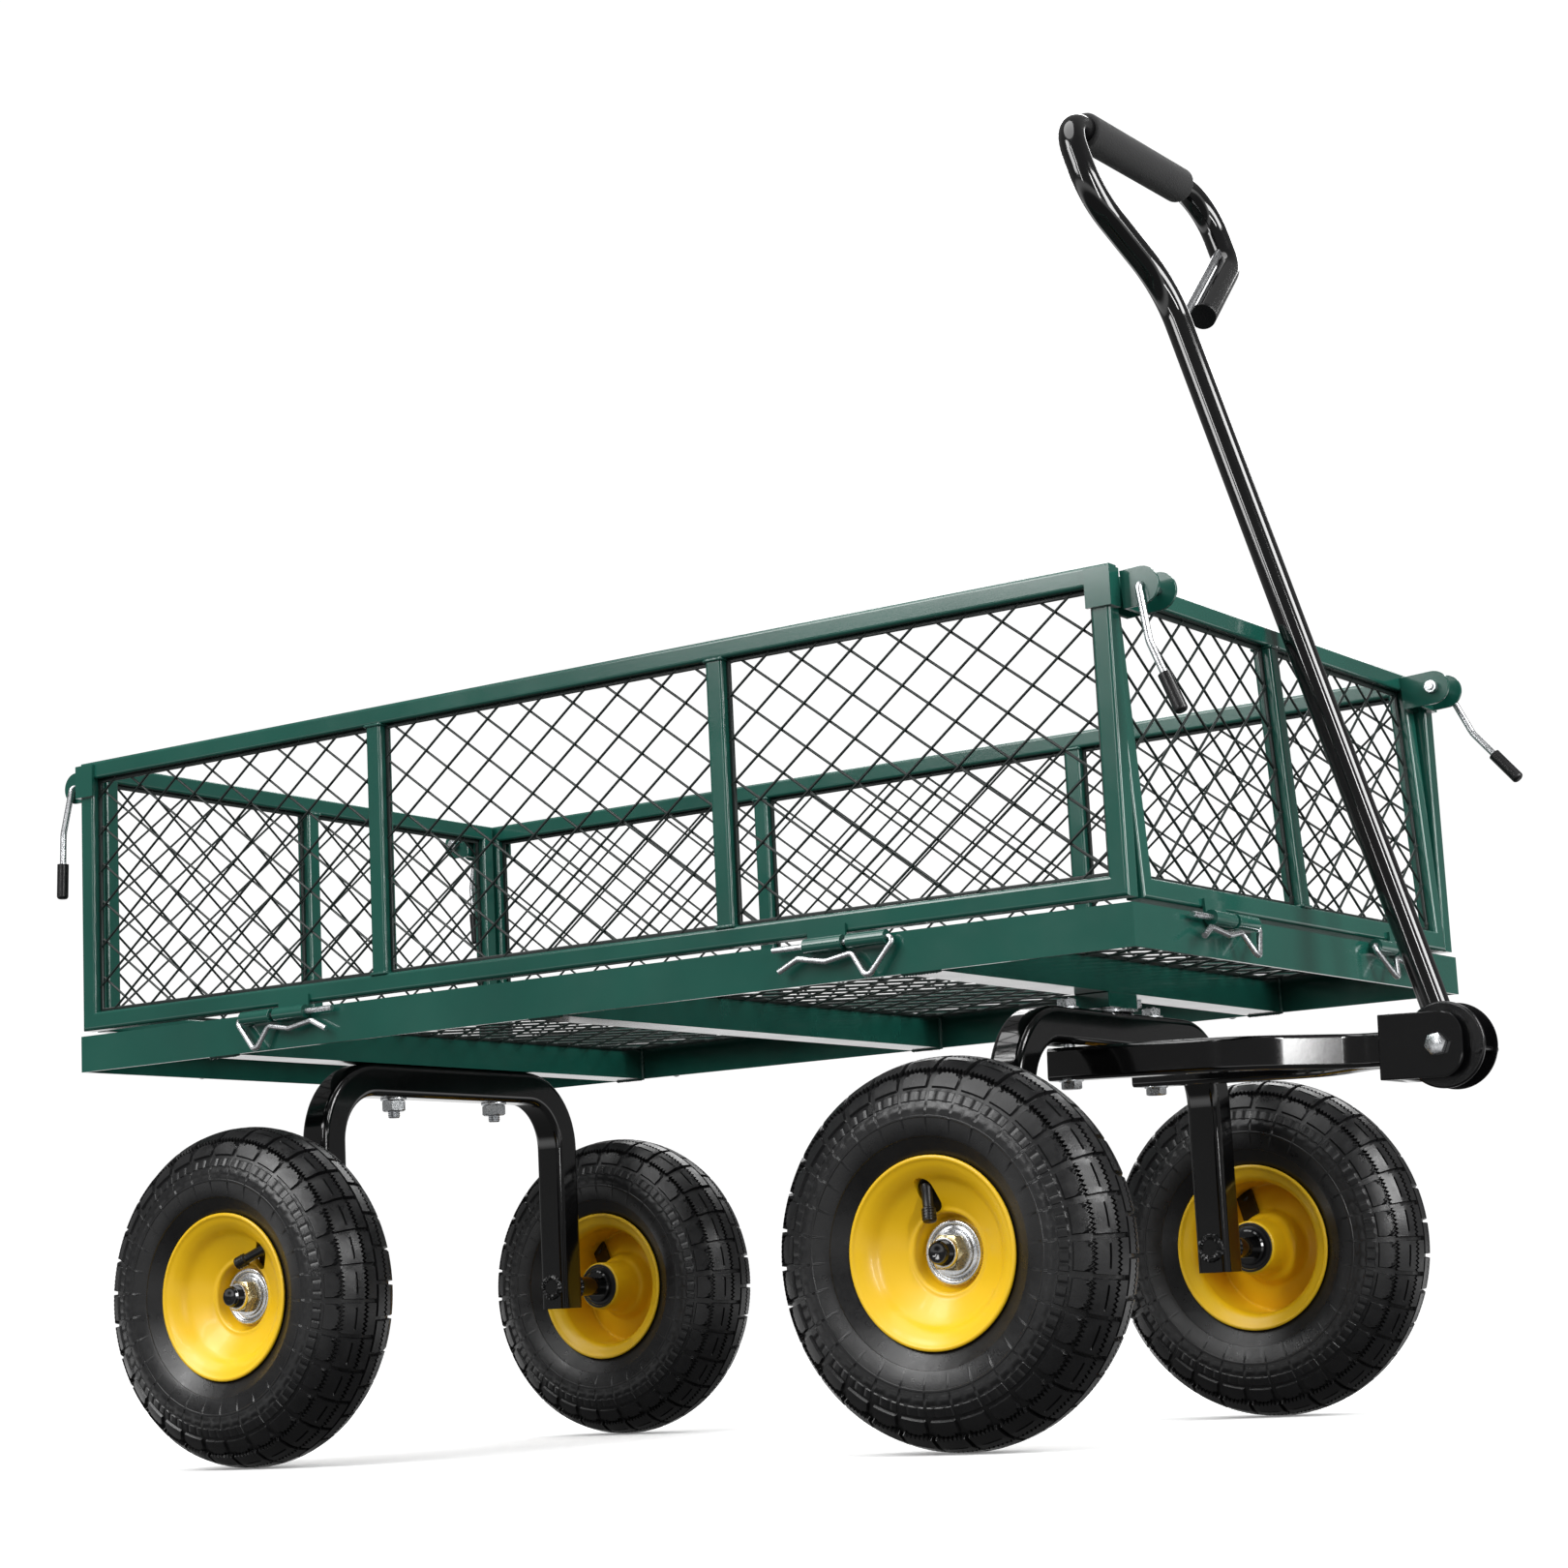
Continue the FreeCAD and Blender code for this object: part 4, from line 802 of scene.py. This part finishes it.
for end, x, body in (("front", FRONT_X, "front_axle"), ("rear", REAR_X, "chassis")):
    hardware, stubs = Build(), Build()
    arch_side = mm(end + "_axle_arch")[1].y
    for side in (-1, 1):
        out = Vector((0, side, 0))
        wheel_nut(hardware, Vector((x, side * HALF_TRACK, AXLE_Z)), out, 0.35 + side * 0.2)
        leg_out = side * arch_side
        leg_in = side * (arch_side - ARCH_TUBE)
        start = Vector((x, leg_in - side * 1.5, AXLE_Z))
        stub_axle(stubs, start, (side * HALF_TRACK - start.y) * side, out)
        weld_ring(stubs, Vector((x, leg_out + side * 0.8, AXLE_Z)), 10.2, 2.6, 24)
        weld_ring(stubs, Vector((x, leg_in - side * 0.5, AXLE_Z)), 8.2, 2.4, 20)
    made = hardware.done(end + "_axle_nuts", [ZINC, GOLD], body, "zinc")
    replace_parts(made, end + "_wheel_hardware")
    made = stubs.done(end + "_stubs_and_welds", [BLACK, WELD], body, "black_paint")
    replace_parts(made, end + "_stub_axles")


# ---------------------------------------------------------------- wire mesh

# the diamonds' diagonals, along u and v
PITCH_U, PITCH_V = 39.2, 30.0
WIRE_R = 0.95
STRIP_WIDE = 3.0
POST = 14.0
PANEL_HIGH = 213.0
SIDE_LONG, END_LONG = 926.0, 483.0
UPRIGHTS = {"right": (-155.0, 155.0), "left": (-155.0, 155.0), "rear": (0.0,), "front": (0.0,)}
# middle planes of the panels, out from the deck's centre, and height of their lower edge
SIDE_PLANE, END_PLANE, RAIL_Z = 251.5, 458.5, 339


def clip_line(point, run, low, high):
    """Part of a line inside a rectangle, as two (u, v) points, or None."""
    near, far = -1e9, 1e9
    for k in (0, 1):
        if abs(run[k]) < 1e-9:
            if not low[k] <= point[k] <= high[k]:
                return None
            continue
        a, b = (low[k] - point[k]) / run[k], (high[k] - point[k]) / run[k]
        near, far = max(near, min(a, b)), min(far, max(a, b))
    if far - near < 0.05:
        return None
    return [(point[0] + run[0] * t, point[1] + run[1] * t) for t in (near, far)]


def wire_bays(build, bays, origin, to_space, out):
    """Crossed round wires over rectangles in (u, v), placed by to_space, offset along out."""
    slope = PITCH_V / PITCH_U
    for low, high in bays:
        for sign in (1, -1):
            offset = (origin[1] - sign * slope * origin[0]) % PITCH_V
            ends = [low[1] - sign * slope * u for u in (low[0], high[0])]
            ends += [high[1] - sign * slope * u for u in (low[0], high[0])]
            first = int((min(ends) - offset) // PITCH_V)
            last = int((max(ends) - offset) // PITCH_V) + 1
            for k in range(first, last + 1):
                line = clip_line((0.0, offset + k * PITCH_V), (1.0, sign * slope), low, high)
                if line is None or abs(line[0][0] - line[1][0]) < 1.5:
                    continue
                shift = out * (0.75 * sign)
                tube(build, [to_space(*line[0]) + shift, to_space(*line[1]) + shift], circle(WIRE_R, 8), out)


def edge_strip(build, low, high, to_space, out):
    """Thin flat strip round a bay that the wire ends are welded to."""
    half = STRIP_WIDE / 2
    near_u, near_v = low[0] + half, low[1] + half
    far_u, far_v = high[0] - half, high[1] - half
    corners = [(near_u, near_v), (far_u, near_v), (far_u, far_v), (near_u, far_v)]
    tube(build, [to_space(*c) for c in corners], rounded(STRIP_WIDE, 2.4, 0.6, 2), out, closed=True)


def frame_bays(side):
    """Openings of a panel in its own (u, v): u along the rail from the middle, v up from the rail."""
    length = SIDE_LONG if side in ("right", "left") else END_LONG
    stops = [-length / 2 + POST]
    for u in UPRIGHTS[side]:
        stops += [u - POST / 2, u + POST / 2]
    stops.append(length / 2 - POST)
    return [((a, POST), (b, PANEL_HIGH - POST)) for a, b in zip(stops[0::2], stops[1::2])]


PANELS = {
    # base of the rail's middle plane, along, up, out, lattice origin
    "right": (Vector((DECK.x, -SIDE_PLANE, RAIL_Z)), Vector((1, 0, 0)), Vector((0, 0, 1)),
              Vector((0, -1, 0)), (28.0, 188.7)),
    "left": (Vector((DECK.x, SIDE_PLANE, RAIL_Z)), Vector((-1, 0, 0)), Vector((0, 0, 1)),
             Vector((0, 1, 0)), (6.0, 180.0)),
    "rear": (Vector((DECK.x - END_PLANE, 0, RAIL_Z)), Vector((0, -1, 0)), Vector((0, 0, 1)),
             Vector((-1, 0, 0)), (9.0, 184.0)),
}


def panel_space(side):
    """Function that turns a folding panel's own (u, v) into a point."""
    base, along, up = PANELS[side][:3]

    def to_space(u, v):
        return base + along * u + up * v

    return to_space


for side in PANELS:
    build = Build()
    bays = frame_bays(side)
    to_space = panel_space(side)
    out, origin = PANELS[side][3:]
    wire_bays(build, bays, origin, to_space, out)
    for low, high in bays:
        edge_strip(build, low, high, to_space, out)
    made = build.done(side + "_wire", WIRE, side + "_panel", "mesh_wire", 50)
    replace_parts(made, side + "_panel_mesh")

# front panel: leans inward a little about its hinge line
LEAN = math.radians(3.1)
HINGE = Vector((DECK.x + 470.5, 0, 332))
tilt = Matrix.Rotation(-LEAN, 3, "Y")
build = Build()
bays = frame_bays("front")


def front_space(u, v):
    """Point of the leaning front panel at its own (u, v)."""
    flat = Vector((DECK.x + END_PLANE, u, RAIL_Z + v))
    return HINGE + tilt @ (flat - HINGE)


front_out = tilt @ Vector((1, 0, 0))
wire_bays(build, bays, (12.0, 186.0), front_space, front_out)
for low, high in bays:
    edge_strip(build, low, high, front_space, front_out)
made = build.done("front_wire", WIRE, "chassis", "mesh_wire", 50)
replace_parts(made, "front_panel_mesh")

# deck floor: the same wire laid flat in four bays between the crossmembers
CROSS_X = [DECK.x - 4.5 + i * 310.5 for i in (-1, 0, 1)]
HALF_CROSS = 14
build = Build()
inner_y = DECK_HIGH.y - TUBE
edges = [DECK_LOW.x + TUBE]
for centre in CROSS_X:
    edges += [centre - HALF_CROSS, centre + HALF_CROSS]
edges.append(DECK_HIGH.x - TUBE)


def floor_space(u, v):
    """Point of the floor wire's middle plane."""
    return Vector((u, v, DECK_HIGH.z - 3.0))


bays = [((a, -inner_y), (b, inner_y)) for a, b in zip(edges[0::2], edges[1::2])]
wire_bays(build, bays, (DECK.x + 5.0, 4.0), floor_space, Vector((0, 0, 1)))
for low, high in bays:
    edge_strip(build, low, high, floor_space, Vector((0, 0, 1)))
made = build.done("deck_wire", WIRE, "chassis", "mesh_wire", 50)
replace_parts(made, "deck_mesh")


# ---------------------------------------------------------------- frames

for name in ("front_panel_frame", "rear_panel_frame", "right_panel_frame", "left_panel_frame", "deck_frame",
             "deck_crossmembers"):
    dress(name, GREEN)
for name in ("rear_axle_arch", "front_axle_arch", "drawbar", "handle_tube"):
    dress(name, BLACK)
for name in ("hinge_pins", "pivot_spacers", "tow_pin", "thrust_washer", "stop_bolt"):
    dress(name, ZINC)
dress("handle_grip", FOAM)
dress("handle_end_cap", HARD)
dress("handle_cover_discs", HARD)
dress("handle_disc_screw", HARD)
for wheel in WHEELS:
    dress("latch_lever_" + wheel, ZINC)
    dress("latch_grip_" + wheel, VINYL)
softened_copy("clevis_soft", "clevis", 1.3, BLACK, "front_axle")
softened_copy("front_ears_soft", "front_latch_brackets", 0.7, GREEN, "chassis")
softened_copy("rear_ears_soft", "rear_latch_brackets", 0.7, GREEN, "rear_panel")
softened_copy("hinge_barrels_soft", "deck_hinge_barrels", 0.6, GREEN, "chassis")
softened_copy("king_block_soft", "king_pin_block", 1.2, GREEN, "chassis")


# ---------------------------------------------------------------- fasteners

DOWN, UPWARD, ACROSS = Vector((0, 0, -1)), Vector((0, 0, 1)), Vector((0, 1, 0))
BOLT_Y = 63.0
CHEEK_Y = 22.2


def round_washer(build, base, axis, radius, bore, thick):
    """Flat washer standing from base along axis."""
    profile = soften([(0, bore), (0, radius), (thick, radius), (thick, bore)], 0.4, 2)
    lathe(build, profile, base, axis, 36)


# rear arch: washers, nuts and threaded ends under the arch
build = Build()
under = mm("rear_axle_arch")[1].z - ARCH_TUBE
tip = mm("rear_arch_fasteners")[0].z
for side in (-1, 1):
    spot = Vector((REAR_X, side * BOLT_Y, under))
    washer_thick = 1.8
    round_washer(build, spot, DOWN, 10.5, 5.2, washer_thick)
    hex_nut(build, spot + DOWN * washer_thick, DOWN, 17.0, 8.8, 5.0, turn=0.3 * side)
    thread(build, spot, DOWN, 5.0, under - tip)
made = build.done("rear_arch_nuts", ZINC, "chassis", "zinc")
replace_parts(made, "rear_arch_fasteners")

# drawbar bolts: heads under the arms, nuts and threaded ends on top of the arch
build = Build()
low, high = mm("drawbar_fasteners")
roof = mm("front_axle_arch")[1].z
for side in (-1, 1):
    head_high, washer_thick = 5.3, 1.2
    head = Vector((FRONT_X, side * BOLT_Y, low.z + head_high))
    hex_nut(build, head, DOWN, 13.0, head_high, 0.0, turn=0.5 * side, head=True)
    round_washer(build, head + DOWN * 0.1, UPWARD, 8.5, 4.2, washer_thick)
    top = Vector((FRONT_X, side * BOLT_Y, roof))
    round_washer(build, top, UPWARD, 8.5, 4.2, washer_thick)
    hex_nut(build, top + UPWARD * washer_thick, UPWARD, 13.0, 5.6, 4.0, turn=0.2)
    thread(build, top, UPWARD, 4.0, high.z - roof, 1.25)
    lathe(build, [(0, 0), (0, 3.9), (roof - head.z, 3.9), (roof - head.z, 0)], head, UPWARD, 16)
made = build.done("drawbar_bolts", ZINC, "front_axle", "zinc")
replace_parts(made, "drawbar_fasteners")

# king pin: smooth shaft above the arch, lock nut and threaded end below it
build = Build()
low, high = mm("king_pin")
shaft = high.z - roof + 27
outline = soften([(0, 0), (0, 7.9), (shaft, 7.9), (shaft, 0)], 0.4, 2)
lathe(build, outline, (FRONT_X, 0, roof - 27), UPWARD, 32)
bottom = Vector((FRONT_X, 0, roof - 26.5))
hex_nut(build, bottom, DOWN, 24.0, 9.5, 8.0, turn=0.2)
thread(build, bottom, DOWN, 8.0, bottom.z - low.z, 2.0)
made = build.done("king_pin_and_nut", ZINC, "chassis", "zinc")
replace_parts(made, "king_pin")

# handle pivot bolt through the clevis cheeks
build = Build()
low, high = mm("pivot_bolt")
centre = Vector((PIVOT.x, 0, PIVOT.z))
hex_nut(build, centre - ACROSS * CHEEK_Y, -ACROSS, 13.0, -low.y - CHEEK_Y, 0.0, turn=0.4, head=True)
lathe(build, [(-22.3, 0), (-22.3, 3.9), (22, 3.9), (22, 0)], centre, ACROSS, 20)
hex_nut(build, centre + ACROSS * CHEEK_Y, ACROSS, 13.0, 6.2, 4.0, turn=0.1)
thread(build, centre + ACROSS * 22, ACROSS, 4.0, high.y - 22.0, 1.25)
made = build.done("pivot_bolt_and_nut", ZINC, "front_axle", "zinc")
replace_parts(made, "pivot_bolt")


# ---------------------------------------------------------------- weld seams

def square_loop(centre, first, second, a, b):
    """Four corners of a rectangle around centre, in the plane of two directions."""
    return [centre + first * a * i + second * b * j for i, j in ((-1, -1), (1, -1), (1, 1), (-1, 1))]


# both ends of each panel's uprights
HALF_WELD = 7.1
for side, uprights in UPRIGHTS.items():
    build = Build()
    if side == "front":
        space, along, up, out = front_space, Vector((0, 1, 0)), tilt @ UPWARD, front_out
        body = "chassis"
    else:
        space = panel_space(side)
        along, up, out = PANELS[side][1:4]
        body = side + "_panel"
    for u in uprights:
        for v in (14.2, 198.8):
            loop = square_loop(space(u, v), along, out, HALF_WELD, HALF_WELD)
            bead(build, loop, 1.25, up)
    made = build.done(side + "_panel_welds", GREEN_WELD, body, "green_paint", 60)

# both ends of the deck's crossmembers
build = Build()
half_high = (CROSS_HIGH.z - CROSS_LOW.z) / 2 - 0.3
for centre_x in CROSS_X:
    for sign in (-1, 1):
        spot = Vector((centre_x, sign * (CROSS_HIGH.y - 0.6), (CROSS_LOW.z + CROSS_HIGH.z) / 2))
        loop = square_loop(spot, Vector((1, 0, 0)), UPWARD, HALF_CROSS, half_high)
        bead(build, loop, 1.7, (0, 1, 0))
made = build.done("deck_welds", GREEN_WELD, "chassis", "green_paint", 60)


# ---------------------------------------------------------------- floor, light and camera

def stage_floor():
    """White ground that shows to the lens only, so it adds no light or reflection to the cart."""
    mesh = bpy.data.meshes.new("floor")
    reach = 40.0
    corners = [(-reach, -reach, 0), (reach, -reach, 0), (reach, reach, 0), (-reach, reach, 0)]
    mesh.from_pydata(corners, [], [(0, 1, 2, 3)])
    mat, tree, shader = shade("floor_white", (0.86, 0.86, 0.86), 0.9)
    spot = where(tree)
    stops = [(0.3, (0.855, 0.855, 0.855)), (0.7, (0.87, 0.87, 0.87))]
    tree.links.new(ramp(tree, noise(tree, spot, 3.0, 3.0), stops), shader.inputs["Base Color"])
    shader.inputs["Emission Color"].default_value = (1, 1, 1, 1)
    shader.inputs["Emission Strength"].default_value = 0.19
    shader.inputs["Specular IOR Level"].default_value = 0.1
    mesh.materials.append(mat)
    obj = placed("floor", mesh)
    obj.visible_diffuse = False
    obj.visible_glossy = False


def light(name, kind, position, target, power, size, size_y=0.0):
    """Area light of size by size_y metres, or a sun whose disc is size degrees wide."""
    data = bpy.data.lights.new(name, kind)
    if kind == "AREA":
        data.shape = "RECTANGLE"
        data.size, data.size_y = size, size_y
    else:
        data.angle = math.radians(size)
    data.energy = power
    obj = placed(name, data)
    position, target = Vector(position), Vector(target)
    obj.location = position
    obj.rotation_euler = (target - position).to_track_quat("-Z", "Y").to_euler()


stage_floor()
light("overhead", "SUN", (-0.5, -0.9, 3.0), (0, 0, 0), 1.65, 55)
light("key", "AREA", (-1.1, -2.3, 1.9), (0, 0, 0.35), 38, 1.0, 1.6)
light("front", "AREA", (2.6, 0.2, 1.5), (0.2, 0, 0.4), 60, 1.0, 1.8)
light("strip_left", "AREA", (-0.2, -2.9, 1.7), (0.3, 0, 0.6), 16, 0.22, 2.0)
light("strip_right", "AREA", (2.9, -1.7, 1.3), (0.3, 0, 0.4), 34, 0.25, 2.0)
light("back", "AREA", (-0.8, 2.8, 2.4), (0, 0, 0.4), 40, 2.6, 1.2)

# surroundings: plain white to the lens, a glow near the ground in reflections, dimmer for light
world = bpy.data.worlds.new("studio")
bpy.context.scene.world = world
world.use_nodes = True
tree = world.node_tree
backdrop = tree.nodes["Background"]
backdrop.inputs["Color"].default_value = (1, 1, 1, 1)
rays = tree.nodes.new("ShaderNodeLightPath")
ways = node(tree, "ShaderNodeSeparateXYZ", {0: tree.nodes.new("ShaderNodeTexCoord").outputs["Generated"]})
ambient = remap(tree, ways.outputs["Z"], -0.25, 0.3, 0.10, 0.75)
rising = remap(tree, ways.outputs["Z"], -0.36, -0.20, 0.10, 0.95)
falling = remap(tree, ways.outputs["Z"], -0.08, 0.0, 1.0, 0.16)
low_glow = node(tree, "ShaderNodeMath", {0: rising, 1: falling}, operation="MULTIPLY")
glint = node(tree, "ShaderNodeMix", {0: rays.outputs["Is Glossy Ray"], 2: ambient, 3: low_glow.outputs[0]})
final = node(tree, "ShaderNodeMix", {0: rays.outputs["Is Camera Ray"], 2: glint.outputs[0]})
final.inputs[3].default_value = 1.05
tree.links.new(final.outputs[0], backdrop.inputs["Strength"])

view = bpy.context.scene.view_settings
view.view_transform = "Standard"
view.look = "None"

# camera: position, direction and lens solved from the photo's perspective
AZ, EL, ROLL = math.radians(33.86), math.radians(-9.72), math.radians(-2.81)
forward = Vector((-math.sin(AZ) * math.cos(EL), math.cos(AZ) * math.cos(EL), -math.sin(EL)))
level = Vector((math.cos(AZ), math.sin(AZ), 0))
upward = level.cross(forward)
right = level * math.cos(ROLL) + upward * math.sin(ROLL)
over = upward * math.cos(ROLL) - level * math.sin(ROLL)
lens = bpy.data.cameras.new("camera")
lens.lens = 72.29
lens.sensor_width = 36.0
lens.clip_end = 100.0
camera = placed("camera", lens)
LENS_PLACE = Vector((DECK.x + 1370.32, -1989.13, 86.97)) * 0.001
turn = Matrix((right, over, -forward)).transposed().to_4x4()
camera.matrix_world = Matrix.Translation(LENS_PLACE) @ turn
bpy.context.scene.camera = camera
